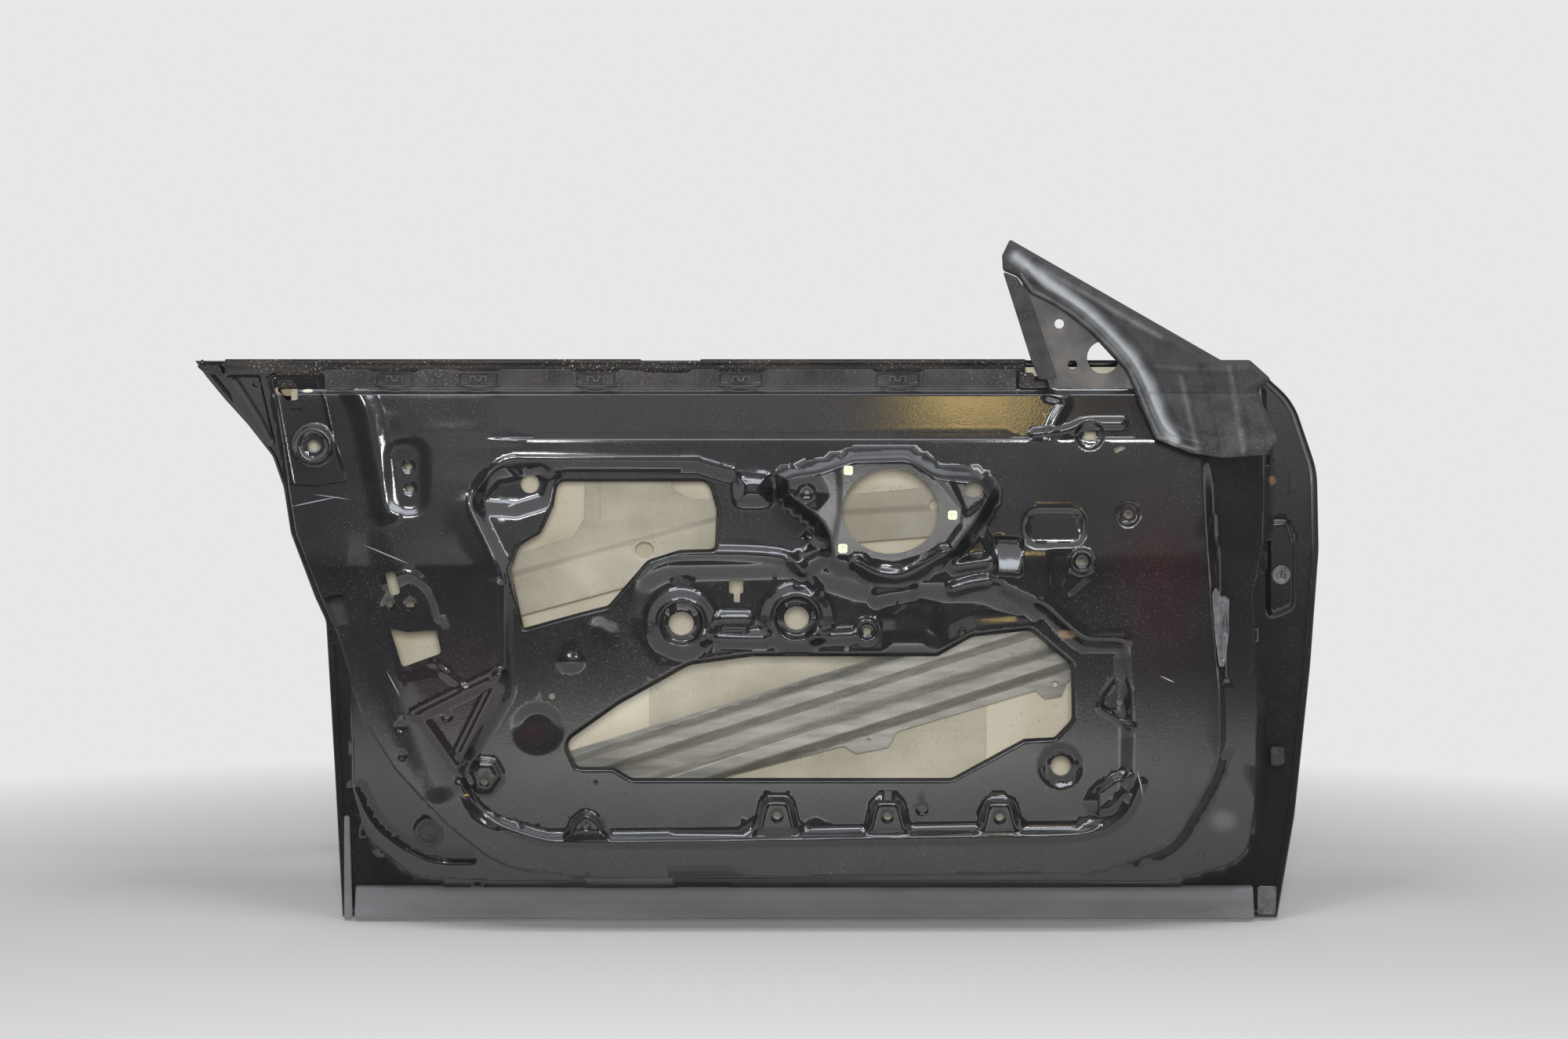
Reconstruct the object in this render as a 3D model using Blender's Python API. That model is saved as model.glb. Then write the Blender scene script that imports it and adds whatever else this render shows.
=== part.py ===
"""Left front door shell of a two-door car, seen from its inner side.

+X points to the front of the car, +Y to the outside of the door and +Z up. Units are metres.

Every piece is a sheet or a moulding that is laid out in the photograph's plane. A place in that plane
is a pair of pixels (u to the right, v down), and place() carries it to its depth along the line of
sight, so that a piece keeps its outline at any depth. Depths are real sizes, counted from the door's
lower inner face towards the outside of the car.
"""
import math

import bmesh
import bpy
import numpy as np
from mathutils import Matrix, Vector
from mathutils.geometry import delaunay_2d_cdt

# Whole door
DOOR_LENGTH = 1.36
VIEW_DISTANCE = 2.82
INNER_SHEET = 0.0012
OUTER_SHEET = 0.0010
SEAT_GAP = 0.0003
HEM_CLEARANCE = 0.0006

# Photograph plane
DOOR_LENGTH_PX = 1432
CENTRE_PX = (1000, 662.5)
CHORD_PX = 15
LONGEST_EDGE_PX = 46
NEAREST_POINTS_PX = 1
WELD_PX = 0.01
CORNER_REACH_SHARE = 0.98
SHARPEST_SHARE = 0.6

# Sides of round outlines
NUT_SIDES = 6
SMALL_SIDES = 8
HOLE_SIDES = 10
WIDE_SIDES = 14
EMBOSS_SIDES = 16
RING_SIDES = 20
SPEAKER_SIDES = 28
# Value of the mesher for triangles inside the outlines only
INSIDE_ONLY = 1

# Inner panel depths
WAIST_FLANGE_DEPTH = 0.084
BAND_TOP_DEPTH = 0.072
BAND_FOOT_DEPTH = 0.052
LEDGE_DEPTH = 0.056
JAMB_DEPTH = 0.050
MODULE_RECESS = 0.012
SPEAKER_RISE = 0.006
SPEAKER_SEAT = 0.004
LATCH_RECESS = 0.003
CAPSULE_DEPTH = 0.005
EMBOSS_DEPTH = 0.004
BOSS_RISE = 0.009
RIDGE_RISE = 0.010
RIB_RISE = 0.005
POCKET_DEPTH = 0.006
RIM_ROLL = 0.008
FLANGE_PAD = 0.008

# Outer skin depths
SKIN_BELT_DEPTH = 0.118
SKIN_MIDDLE_DEPTH = 0.146
SKIN_SILL_DEPTH = 0.116
SKIN_PLAN_SAG = 0.012

# Cavity pieces
BEAM_DEPTH = 0.086
BEAM_WAVE = 0.018
BEAM_SHEET = 0.0018
BRACE_CREASE = 0.008
PAD_THICKNESS = 0.002
HINGE_PLATE = 0.0025

# Waist and mirror pieces
RAIL_POCKET = 0.004
WAIST_BOX = 0.007
CLIP_RISE = 0.003
CLIP_SHEET = 0.0006
POST_THICKNESS = 0.011
BRACKET_SHEET = 0.0015

# Rubber and small pieces
MIRROR_SEAL_EDGE = 0.006
MIRROR_SEAL_CROWN = 0.020
SILL_SEAL_EDGE = 0.008
SILL_SEAL_BEAD = 0.013
PLUG_RISE = 0.004
SPEAKER_CLIP_RISE = 0.0025
NUT_HEIGHT = 0.006
SCREW_RISE = 0.004
CHECK_BRACKET_DEPTH = 0.004
BUFFER_RISE = 0.016

# Main border of the inner face, corners as (u, v, radius)
border_px = (
    (344, 479, 4), (361, 572, 30), (369, 630, 20), (378, 680, 40), (409, 760, 60), (431, 832, 90),
    (467, 921, 90), (504, 980, 110), (568, 1049, 120), (640, 1106, 130), (760, 1120, 60),
    (1400, 1113, 60), (1496, 1075, 60), (1554, 975, 120), (1553, 880, 60), (1544, 777, 60),
    (1529, 560, 30), (1524, 479, 4))
# Jamb line outside it, where the hinge face and the lower rear corner end
jamb_px = (
    (345, 477, 4), (362, 572, 30), (370, 630, 20), (378, 680, 40), (409, 760, 60), (432, 812, 30),
    (448, 866, 60), (451, 1003, 50), (470, 1070, 60), (530, 1118, 60), (640, 1124, 60),
    (1489, 1124, 60), (1590, 1096, 60), (1600, 1030, 60), (1604, 905, 20), (1600, 835, 20),
    (1598, 755, 30), (1611, 690, 30), (1613, 580, 30), (1606, 477, 4))
# Outer edge of the skin
skin_px = (
    (249, 460, 0), (263, 480, 0), (286, 508, 30), (316, 541, 60), (348, 582, 30), (362, 622, 30),
    (371, 680, 40), (402, 762, 40), (416, 792, 30), (427, 980, 200), (437, 1169, 0), (1629, 1170, 0),
    (1651, 1041, 200), (1671, 850, 200), (1682, 700, 150), (1680, 600, 120), (1650, 512, 90),
    (1604, 470, 30), (1560, 459, 0))
# Rows and columns between which the skin is bowed
skin_rows_px = (460, 1169)
skin_columns_px = (249, 1671)
# Folded lip of the skin, narrower beside the rear jamb
lip_px = 9
narrow_lip_px = 3.6
narrow_lip_column_px = 420
narrow_lip_rows_px = (560, 800)
fold_px = 1.1
# Outer edge of the inner panel's flange
flange_px = (
    (337, 478, 2), (356, 573, 30), (364, 622, 30), (372.5, 680, 40), (403.5, 762, 40),
    (418, 793, 30), (429, 980, 200), (438.5, 1150, 4), (1630, 1150, 4), (1649, 1041, 200),
    (1669, 850, 200), (1680, 700, 150), (1678, 600, 120), (1642, 517, 90), (1607, 489, 10), (1590, 480, 2))

# Openings of the inner panel
upper_opening_px = (
    (712, 614, 12), (904, 614, 16), (914, 650, 10), (912, 700, 8), (868, 701, 12), (826, 714, 20),
    (776, 772, 10), (740, 781, 10), (668, 801, 3), (652, 726, 10), (662, 696, 14), (690, 680, 6),
    (706, 646, 20))
lower_opening_px = (
    (722, 946, 14), (736, 978, 10), (782, 978, 10), (806, 992, 10), (1214, 992, 14), (1306, 942, 10),
    (1345, 940, 8), (1367, 917, 12), (1366, 848, 6), (1314, 804, 12), (1240, 812, 16), (1196, 837, 12),
    (960, 837, 40), (880, 848, 40), (790, 898, 20))
latch_window_px = ((494, 789, 5), (552, 785, 6), (563, 833, 6), (513, 851, 5))
latch_slot_px = ((491, 731, 5), (503, 727, 5), (511, 757, 5), (498, 760, 5))
rear_cutout_px = ((413, 762, 2), (436, 758, 4), (449, 794, 4), (428, 799, 2))
keyhole_px = ((930, 739, 1), (948, 739, 1), (948, 756, 1), (944, 757, 1), (944, 768, 1),
              (936, 768, 1), (936, 757, 1), (930, 756, 1))
square_hole_px = ((1383, 550, 1), (1398, 550, 1), (1398, 561, 1), (1383, 561, 1))
tilted_slot_px = ((1420, 572, 2), (1433, 566, 2), (1436, 572, 2), (1423, 578, 2))
flange_hole_px = ((1627, 602, 2), (1645, 602, 2), (1645, 630, 4), (1627, 630, 4))
flange_slot_px = ((1609, 919, 2), (1615, 919, 2), (1615, 1031, 2), (1609, 1031, 2))
lip_window_px = ((352, 484, 2), (374, 484, 4), (380, 496, 4), (380, 510, 3), (366, 511, 3), (354, 498, 3))
speaker_hole_px = (1135.5, 652, 62, 54)
latch_bore_px = (400, 568, 9.5, 9.5)
widest_small_hole_px = 9
# Round holes of the panel as (u, v, radius across, radius down)
round_holes_px = (
    (869, 795, 16, 15), (1016, 788, 16, 15), (676, 617, 12, 12), (1242, 624, 12.7, 10),
    (1353, 976.5, 12.5, 12.5), latch_bore_px, (521, 595, 5, 5), (523, 623, 5, 5),
    (1106, 805, 5, 5), (1380, 716, 8, 8), (1439, 656, 5, 5), (523, 771, 5.5, 5.5), (497, 771, 4, 4),
    (991, 1040, 4.5, 4.5), (1132, 1041, 4.5, 4.5), (1275, 1042, 4.5, 4.5), (618, 997, 4, 4),
    (747, 1053, 4, 4), (1416, 1016, 4, 4), (1428, 895, 4, 4), (760, 998, 3.5, 3.5),
    (797, 1012, 3.5, 3.5), (1334, 1005, 3, 3), (570, 913, 4, 4), (704, 888, 4, 4),
    (1227, 807, 3, 3), (1367, 806, 4, 4), (1080, 828, 3.5, 3))

# Formed shapes of the panel
module_px = (
    (576, 990, 20), (600, 1050, 60), (700, 1078, 50), (760, 1078, 40), (1243, 1064, 60), (1390, 1064, 40),
    (1444, 1020, 36), (1446, 940, 30), (1440, 812, 26), (1380, 812, 20), (1340, 770, 30),
    (1280, 742, 20), (1272, 690, 12), (1240, 640, 30), (1190, 596, 30), (1130, 596, 40), (1000, 606, 20),
    (930, 598, 20), (890, 586, 30), (640, 584, 40), (594, 640, 30), (640, 735, 20), (640, 880, 20),
    (594, 955, 20))
speaker_px = (
    (985, 603, 8), (1030, 586, 10), (1085, 568, 30), (1165, 568, 40), (1200, 594, 14), (1257, 598, 20),
    (1281, 628, 20), (1246, 678, 20), (1218, 722, 36), (1135, 744, 50), (1054, 730, 20), (1042, 670, 14),
    (1012, 652, 10), (988, 632, 8))
speaker_seat_px = (
    (1062, 586, 12), (1100, 580, 30), (1165, 580, 40), (1205, 612, 30), (1234, 648, 12), (1230, 672, 12),
    (1204, 708, 30), (1140, 726, 40), (1095, 718, 12), (1062, 716, 10), (1058, 690, 12), (1066, 652, 60),
    (1066, 620, 20))
hole_pocket_px = ((615, 622, 12), (640, 600, 14), (690, 596, 14), (702, 620, 14), (688, 646, 14),
                  (640, 648, 14))
capsule_px = ((496, 572, 24), (548, 572, 24), (548, 656, 24), (498, 656, 24))
right_capsule_px = ((1305, 649, 22), (1386, 649, 22), (1386, 698, 22), (1305, 698, 22))
ridge_block_px = ((1262, 690, 6), (1308, 686, 6), (1310, 732, 6), (1264, 734, 6))
latch_emboss_px = ((483, 771, 10), (500, 742, 12), (527, 731, 12), (553, 752, 12), (572, 800, 12),
                   (574, 852, 10), (510, 864, 10))
round_emboss_px = (686, 930, 30)
ring_bosses_px = ((869, 795), (1016, 788))
ring_boss_radii_px = (43, 34, 27, 20)
arch_bosses_px = ((991, 1040), (1132, 1041), (1275, 1042))
arch_half_width_px = 31
arch_top_px = 22
arch_foot_px = 28
arch_crown_half_px = 20
arch_crown_radius_px = 14
arch_foot_radius_px = 3
left_rib_px = ((531, 902, 6), (624, 857, 6), (637, 866, 6), (545, 914, 6))
small_rings_px = ((1353, 976.5, 27), (1439, 656, 14), (1106, 805, 17), (1390, 555, 17), (1380, 716, 16))
flange_pad_px = ((1616, 664, 12), (1644, 664, 10), (1652, 690, 14), (1651, 770, 14), (1616, 790, 12))

# Slope widths of the formed shapes
wide_slope_px = 14
middle_slope_px = 8
small_slope_px = 5
seat_slope_px = 3
rim_slope_px = 4
wall_slope_px = 2
jamb_slope_px = 5
open_jamb_slope_px = (4, 18)
open_jamb_columns_px = (600, 1400)
jamb_share = 0.35
# Rows where the inner face bends
face_rows_px = (470, 498, 503, 556, 562, 720, 1152)

# Cavity pieces
beam_px = ((640, 984), (1400, 752), (1440, 752), (1440, 846), (1362, 868), (1354, 888), (1332, 891),
           (1322, 880), (1143, 933), (1133, 953), (1091, 961), (1076, 951), (690, 1052), (640, 1052))
beam_axis_px = ((640, 984), (1400, 740))
beam_fold_shares = (0.08, 0.17, 0.32, 0.41, 0.58, 0.67, 0.82, 0.91)
beam_wave_shares = (0, 1, 1, 0, 0, 1, 1, 0)
beam_width_px = 112
beam_fold_overrun_px = 60
beam_holes_px = ((1108, 944, 3), (1346, 872, 4))
brace_px = (
    (596, 722, 4), (659, 706, 12), (731, 685, 10), (746, 660, 10), (746, 464, 3), (854, 464, 3),
    (857, 622, 14), (880, 637, 12), (1087, 630, 40), (1290, 612, 4), (1290, 676, 4), (1098, 691, 40),
    (930, 713, 40), (790, 751, 20), (600, 802, 4))
brace_crease_px = ((596, 745), (654, 727), (912, 657), (1290, 636))
brace_crease_width_px = 9
brace_seat_px = (746, 464)
brace_hole_px = (822, 701, 12, 10)
brace_small_hole_px = (1191, 644, 6, 7)
pad_px = ((828, 740, 6), (1258, 740, 6), (1258, 1040, 6), (828, 1040, 6))
beam_rear_bracket_px = ((646, 990, 3), (690, 990, 3), (690, 1046, 3), (646, 1046, 3))
beam_front_bracket_px = ((1404, 762, 3), (1436, 762, 3), (1436, 798, 3), (1404, 798, 3))
bracket_web_px = 3
bracket_slope_px = 1
upper_hinge_px = ((1562, 600, 8), (1598, 600, 8), (1598, 716, 8), (1562, 716, 8))
lower_hinge_px = ((1578, 890, 6), (1595, 890, 6), (1595, 1012, 6), (1578, 1012, 6))

# Waist and mirror pieces
waist_outer_px = ((287, 458, 1), (817, 458, 1), (819, 461, 1), (892, 461, 1), (894, 458, 1), (1308, 458, 1),
                  (1308, 496, 1), (352, 496, 1), (352, 476, 1), (287, 476, 1))
waist_tip_px = ((251, 467, 1), (258, 464, 1), (279, 464, 1), (285, 478, 1), (262, 477, 1))
rail_px = (
    (413, 472, 2), (465, 471, 3), (478, 475, 3), (530, 475, 3), (536, 471, 3), (582, 471, 3),
    (588, 474, 3), (634, 474, 3), (640, 471, 3), (728, 471, 3), (735, 475, 3), (786, 475, 3),
    (792, 471, 3), (832, 476, 3), (876, 476, 3), (884, 471, 3), (912, 471, 3), (918, 475, 3),
    (974, 475, 3), (980, 471, 3), (1112, 471, 3), (1118, 475, 3), (1174, 475, 3), (1180, 471, 3),
    (1296, 471, 3), (1296, 497, 1), (415, 497, 1))
rail_pockets_px = ((480, 527), (585, 635), (735, 785), (917, 973), (1117, 1173))
rail_pocket_rows_px = (475.5, 491.5)
rail_pocket_radius_px = 3
end_block_px = ((1300, 475, 3), (1318, 475, 3), (1320, 486, 2), (1333, 486, 2), (1335, 495, 3),
                (1300, 495, 3))
clip_half_px = (11, 4.5)
clip_radius_px = 1
post_px = ((1282, 354, 4), (1298, 358, 4), (1315, 382, 8), (1349, 483, 3), (1325, 484, 3), (1314, 456, 4))
mirror_bracket_px = (
    (1300, 345, 8), (1340, 350, 20), (1440, 410, 60), (1540, 466, 30), (1596, 468, 6), (1600, 497, 3),
    (1340, 497, 3), (1322, 440, 20))
mirror_holes_px = ((1351, 413, 6, 6), (1368, 465, 6, 6), (1407, 456, 21, 20))
mirror_seal_px = (
    (1288, 305, 3), (1557, 459, 4), (1594, 459, 6), (1622, 484, 4), (1603, 497, 4), (1622, 541, 10),
    (1630, 562, 10), (1614, 580, 10), (1560, 584, 20), (1520, 578, 16), (1474, 560, 8), (1451, 508, 40),
    (1436, 474, 40), (1390, 424, 60), (1350, 393, 30), (1313, 374, 10), (1298, 353, 6), (1279, 345, 3),
    (1278, 326, 3))
mirror_seal_crown_px = 16
mirror_seal_fold_px = ((1300, 338), (1345, 372), (1400, 410), (1450, 462), (1480, 512), (1500, 560))

# Rubber and small pieces
sill_seal_px = ((454, 1129, 3), (1598, 1129, 3), (1600, 1172, 3), (452, 1172, 3))
sill_bead_row_px = 1141
sill_groove_row_px = 1146
rear_seal_px = ((439, 1040, 2), (446, 1040, 2), (450, 1172, 2), (439, 1172, 2))
corner_plate_px = ((1604, 1130, 2), (1628, 1130, 2), (1627, 1166, 2), (1604, 1166, 2))
gusset_px = ((288, 479, 2), (330, 479, 2), (350, 566, 6), (343, 571, 4), (316, 537, 30), (298, 515, 20))
gusset_hole_px = (327, 490, 5, 4)
latch_plate_px = (
    (347, 481, 3), (404, 481, 3), (416, 507, 14), (425, 550, 20), (444, 613, 5), (400, 620, 6),
    (369, 618, 4), (362, 572, 20))
latch_plate_boss_radii_px = (29, 20)
latch_plate_slot_px = ((370, 521, 2), (386, 521, 2), (386, 533, 2), (370, 533, 2))
latch_plate_hole_px = (392, 496, 6, 4)
latch_bracket_px = ((488, 776, 3), (566, 772, 3), (570, 803, 3), (520, 806, 6), (492, 800, 3))
small_bracket_px = ((1337, 702, 4), (1360, 702, 6), (1360, 736, 6), (1353, 757, 6), (1340, 750, 4))
small_bracket_holes_px = ((1343, 725, 4, 4), (1345, 743, 4, 4))
speaker_clips_px = ((1082, 600), (1215, 657), (1075, 699.5))
speaker_clip_half_px = 6
speaker_clip_radius_px = 2
plug_px = (547, 1061)
plug_radii_px = (18, 15, 13, 8, 6)
plug_level_shares = (0.5, 1, 0.6, 0.6, 0.3)
nuts_px = ((400, 568, 14), (1439, 656, 8.6), (1106, 805, 11.4), (1380, 716, 10.6))
nut_bore_share = 0.5
screw_px = (1634, 733)
screw_radii_px = (12, 10, 9, 4)
screw_level_shares = (0.4, 0.4, 1, 0.7)
check_bracket_px = ((1546, 757, 2), (1551, 747, 3), (1558, 762, 3), (1562, 759, 2), (1568, 765, 2),
                    (1567, 812, 4), (1562, 850, 4), (1555, 850, 2), (1550, 812, 4))
# Column and rows that bound the jamb's foot behind the check strap bracket
check_bracket_zone_px = (1500, 700, 900)
buffer_px = ((1619, 952, 4), (1638, 952, 4), (1639, 975, 5), (1620, 978, 5))
strip_px = ((1619.5, 586, 1), (1625.5, 586, 1), (1625.5, 654, 1), (1619.5, 658, 1))
handle_front_px = ((430, 580, 14), (470, 580, 14), (470, 612, 14), (430, 612, 14))
handle_rear_px = ((560, 580, 12), (590, 580, 12), (590, 612, 12), (560, 612, 12))


def place(u, v, depth):
    """World place of a pixel at a depth."""
    scale = DOOR_LENGTH / DOOR_LENGTH_PX * (1 + depth / VIEW_DISTANCE)
    return Vector(((u - CENTRE_PX[0]) * scale, depth, (CENTRE_PX[1] - v) * scale))


def rounded(corners, chord=CHORD_PX):
    """Closed outline through corners that each have their own radius."""
    points = []
    count = len(corners)
    for index in range(count):
        before, corner, after = corners[index - 1], corners[index], corners[(index + 1) % count]
        apex = np.array(corner[:2], float)
        to_before = np.array(before[:2], float) - apex
        to_after = np.array(after[:2], float) - apex
        reach = min(np.hypot(*to_before), np.hypot(*to_after)) / 2
        to_before /= np.hypot(*to_before)
        to_after /= np.hypot(*to_after)
        opening = math.acos(float(np.clip(to_before @ to_after, -1, 1)))
        turn = math.pi - opening
        cut = min(corner[2] * math.tan(turn / 2), reach * CORNER_REACH_SHARE)
        steps = max(1, math.ceil(corner[2] * turn / chord))
        start, end = apex + to_before * cut, apex + to_after * cut
        for step in range(steps + 1):
            share = step / steps
            points.append((1 - share) ** 2 * start + 2 * share * (1 - share) * apex + share ** 2 * end)
    return thinned(points)


def rectangle(left, right, top, foot, radius):
    """Closed rectangle with rounded corners."""
    return rounded(((left, top, radius), (right, top, radius), (right, foot, radius), (left, foot, radius)))


def thinned(points):
    """The points without neighbours that lie on each other."""
    kept = [point for index, point in enumerate(points)
            if np.hypot(*(point - points[index - 1])) > NEAREST_POINTS_PX]
    return np.array(kept)


def resampled(outline, longest=LONGEST_EDGE_PX):
    """The outline with its long edges divided."""
    points = []
    for start, end in zip(outline, np.roll(outline, -1, axis=0)):
        pieces = max(1, math.ceil(np.hypot(*(end - start)) / longest))
        points += [start + (end - start) * piece / pieces for piece in range(pieces)]
    return np.array(points)


def ellipse(centre, across, down, sides=HOLE_SIDES):
    """Closed ellipse."""
    turns = [2 * math.pi * (side + 0.5) / sides for side in range(sides)]
    return np.array([(centre[0] + across * math.cos(turn), centre[1] + down * math.sin(turn))
                     for turn in turns])


def area(outline):
    """Signed area of a closed outline."""
    after = np.roll(outline, -1, axis=0)
    return float(np.sum(outline[:, 0] * after[:, 1] - after[:, 0] * outline[:, 1])) / 2


def moved_edge(outline, distance):
    """The outline moved outwards, or inwards for a negative distance. It may differ from point to point."""
    before = outline - np.roll(outline, 1, axis=0)
    after = np.roll(outline, -1, axis=0) - outline
    before /= np.linalg.norm(before, axis=1)[:, None]
    after /= np.linalg.norm(after, axis=1)[:, None]
    tangent = before + after
    tangent /= np.linalg.norm(tangent, axis=1)[:, None]
    normal = np.stack([tangent[:, 1], -tangent[:, 0]], axis=1) * np.sign(area(outline))
    stretch = np.maximum(np.sum(tangent * after, axis=1), SHARPEST_SHARE)
    return outline + normal * (np.broadcast_to(distance, len(outline)) / stretch)[:, None]


def inside(outline, u, v):
    """Whether each place lies inside the closed outline."""
    crossed = np.zeros(np.shape(u), bool)
    for (u0, v0), (u1, v1) in zip(outline, np.roll(outline, -1, axis=0)):
        if v0 == v1:
            continue
        crossed ^= ((v0 > v) != (v1 > v)) & (u < (u1 - u0) * (v - v0) / (v1 - v0) + u0)
    return crossed


def edge_distance(outline, u, v):
    """Distance of each place outside the closed outline, negative inside it."""
    nearest = np.full(np.shape(u), np.inf)
    for (u0, v0), (u1, v1) in zip(outline, np.roll(outline, -1, axis=0)):
        du, dv = u1 - u0, v1 - v0
        along = np.clip(((u - u0) * du + (v - v0) * dv) / (du * du + dv * dv), 0, 1)
        nearest = np.minimum(nearest, np.hypot(u - u0 - along * du, v - v0 - along * dv))
    return np.where(inside(outline, u, v), -nearest, nearest)


def line_distance(points, u, v):
    """Distance of each place from an open line."""
    nearest = np.full(np.shape(u), np.inf)
    for (u0, v0), (u1, v1) in zip(points[:-1], points[1:]):
        du, dv = u1 - u0, v1 - v0
        along = np.clip(((u - u0) * du + (v - v0) * dv) / (du * du + dv * dv), 0, 1)
        nearest = np.minimum(nearest, np.hypot(u - u0 - along * du, v - v0 - along * dv))
    return nearest


def filled(outline, u, v, slope):
    """1 inside the outline, 0 outside, with a slope inside its edge."""
    return np.clip(-edge_distance(outline, u, v) / slope, 0, 1)


class Formed:
    """One formed shape: its outline, its slope and the change of depth inside it.

    The change counts from what is already formed there, or from the plain face.
    """

    def __init__(self, outline, slope, sink, from_face=False):
        self.outline = outline
        self.slope = slope
        self.sink = sink
        self.from_face = from_face
        self.crest = moved_edge(outline, -slope)

    def add(self, u, v, depth):
        """The depth with this shape pressed into it."""
        share = filled(self.outline, u, v, self.slope)
        if self.from_face:
            return depth + (face_depth(v) + self.sink - depth) * share
        return depth + self.sink * share

    def loops(self):
        """Outlines of the shape's foot and crest."""
        return [self.outline, self.crest]


BORDER = resampled(rounded(border_px))
JAMB = resampled(rounded(jamb_px))
SKIN = resampled(rounded(skin_px))
FLANGE = resampled(rounded(flange_px))
MODULE = Formed(rounded(module_px), wide_slope_px, MODULE_RECESS)
SPEAKER = Formed(rounded(speaker_px), middle_slope_px, -SPEAKER_RISE, from_face=True)
UPPER_OPENING = rounded(upper_opening_px)
LOWER_OPENING = rounded(lower_opening_px)
SPEAKER_HOLE = ellipse(speaker_hole_px[:2], *speaker_hole_px[2:], sides=SPEAKER_SIDES)


def arch_outline(centre):
    """Outline of a boss with a round top that stands on the lower ledge."""
    u, v = centre
    half, crown = arch_half_width_px, arch_crown_half_px
    foot, top = v + arch_foot_px, v - arch_top_px
    return rounded(((u - half, foot, arch_foot_radius_px), (u - crown, top, arch_crown_radius_px),
                    (u + crown, top, arch_crown_radius_px), (u + half, foot, arch_foot_radius_px)))


def formed_shapes():
    """The shapes pressed into the panel, in the order in which they add up."""
    shapes = [MODULE, SPEAKER]
    shapes.append(Formed(rounded(speaker_seat_px), seat_slope_px, SPEAKER_SEAT))
    shapes.append(Formed(rounded(hole_pocket_px), small_slope_px, POCKET_DEPTH))
    shapes.append(Formed(rounded(capsule_px), small_slope_px, CAPSULE_DEPTH))
    shapes.append(Formed(rounded(right_capsule_px), small_slope_px, EMBOSS_DEPTH))
    shapes.append(Formed(rounded(ridge_block_px), small_slope_px, -RIDGE_RISE))
    shapes.append(Formed(rounded(latch_emboss_px), small_slope_px, LATCH_RECESS))
    shapes.append(Formed(rounded(left_rib_px), small_slope_px, -RIB_RISE))
    emboss = ellipse(round_emboss_px[:2], round_emboss_px[2], round_emboss_px[2], sides=EMBOSS_SIDES)
    shapes.append(Formed(emboss, middle_slope_px, EMBOSS_DEPTH))
    outer, crown, inner, dish = ring_boss_radii_px
    for centre in ring_bosses_px:
        shapes.append(Formed(ellipse(centre, outer, outer, RING_SIDES), outer - crown, -BOSS_RISE))
        shapes.append(Formed(ellipse(centre, inner, inner, RING_SIDES), inner - dish, BOSS_RISE))
    for centre in arch_bosses_px:
        shapes.append(Formed(arch_outline(centre), small_slope_px, 0, from_face=True))
    for u, v, radius in small_rings_px:
        shapes.append(Formed(ellipse((u, v), radius, radius, WIDE_SIDES), small_slope_px, EMBOSS_DEPTH))
    return shapes


FORMED = formed_shapes()
FLANGE_FORMED = [Formed(rounded(flange_pad_px), small_slope_px, -FLANGE_PAD)]


def skin_depth(u, v):
    """Depth of the skin's outer face, bowed from belt to sill and a little along the car."""
    (top, foot), (rear, front) = skin_rows_px, skin_columns_px
    middle, half_length = (rear + front) / 2, (front - rear) / 2
    share = (np.asarray(v, float) - top) / (foot - top)
    bow = (SKIN_BELT_DEPTH * (1 - share) * (1 - 2 * share) + SKIN_MIDDLE_DEPTH * 4 * share * (1 - share)
           + SKIN_SILL_DEPTH * share * (2 * share - 1))
    return bow - SKIN_PLAN_SAG * ((np.asarray(u, float) - middle) / half_length) ** 2


def hem_pocket():
    """Room between the skin and its folded lip."""
    return INNER_SHEET + 2 * HEM_CLEARANCE


def lip_depth(u, v):
    """Depth of the folded lip's inner face."""
    return skin_depth(u, v) - 2 * OUTER_SHEET - hem_pocket()


def face_depth(v):
    """Depth of the plain inner face from the waist down."""
    depths = (WAIST_FLANGE_DEPTH, WAIST_FLANGE_DEPTH, BAND_TOP_DEPTH, LEDGE_DEPTH, BAND_FOOT_DEPTH, 0, 0)
    return np.interp(v, face_rows_px, depths)


def jamb_slopes(u, room):
    """Widths of the slopes outside the border and outside the jamb line, for the room between the two."""
    widest = np.interp(u, open_jamb_columns_px, open_jamb_slope_px)
    return (np.maximum(np.minimum(jamb_share * room, widest), wall_slope_px),
            np.clip(jamb_share * room, wall_slope_px, jamb_slope_px))


def border_foot():
    """Foot of the slope outside the border."""
    room = -edge_distance(JAMB, BORDER[:, 0], BORDER[:, 1])
    return moved_edge(BORDER, jamb_slopes(BORDER[:, 0], room)[0])


def jamb_foot():
    """Foot of the slope outside the jamb line."""
    room = edge_distance(BORDER, JAMB[:, 0], JAMB[:, 1])
    return moved_edge(JAMB, jamb_slopes(JAMB[:, 0], room)[1])


def panel_depth(u, v):
    """Depth of the inner panel's near side."""
    u, v = np.asarray(u, float), np.asarray(v, float)
    from_border = edge_distance(BORDER, u, v)
    from_jamb = edge_distance(JAMB, u, v)
    first_slope, second_slope = jamb_slopes(u, from_border - from_jamb)
    depth = face_depth(v)
    for shape in FORMED:
        depth = shape.add(u, v, depth)
    flange = skin_depth(u, v) - OUTER_SHEET - HEM_CLEARANCE - INNER_SHEET
    first = np.clip(from_border / first_slope, 0, 1)
    second = np.clip(from_jamb / second_slope, 0, 1)
    depth = depth + np.maximum(JAMB_DEPTH - face_depth(v), 0) * first
    depth = depth + (flange - depth) * second
    for shape in FLANGE_FORMED:
        depth = shape.add(u, v, depth)
    for opening in (UPPER_OPENING, LOWER_OPENING):
        near = np.clip(1 - edge_distance(opening, u, v) / rim_slope_px, 0, 1)
        depth = depth + RIM_ROLL * near
    return depth


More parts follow.
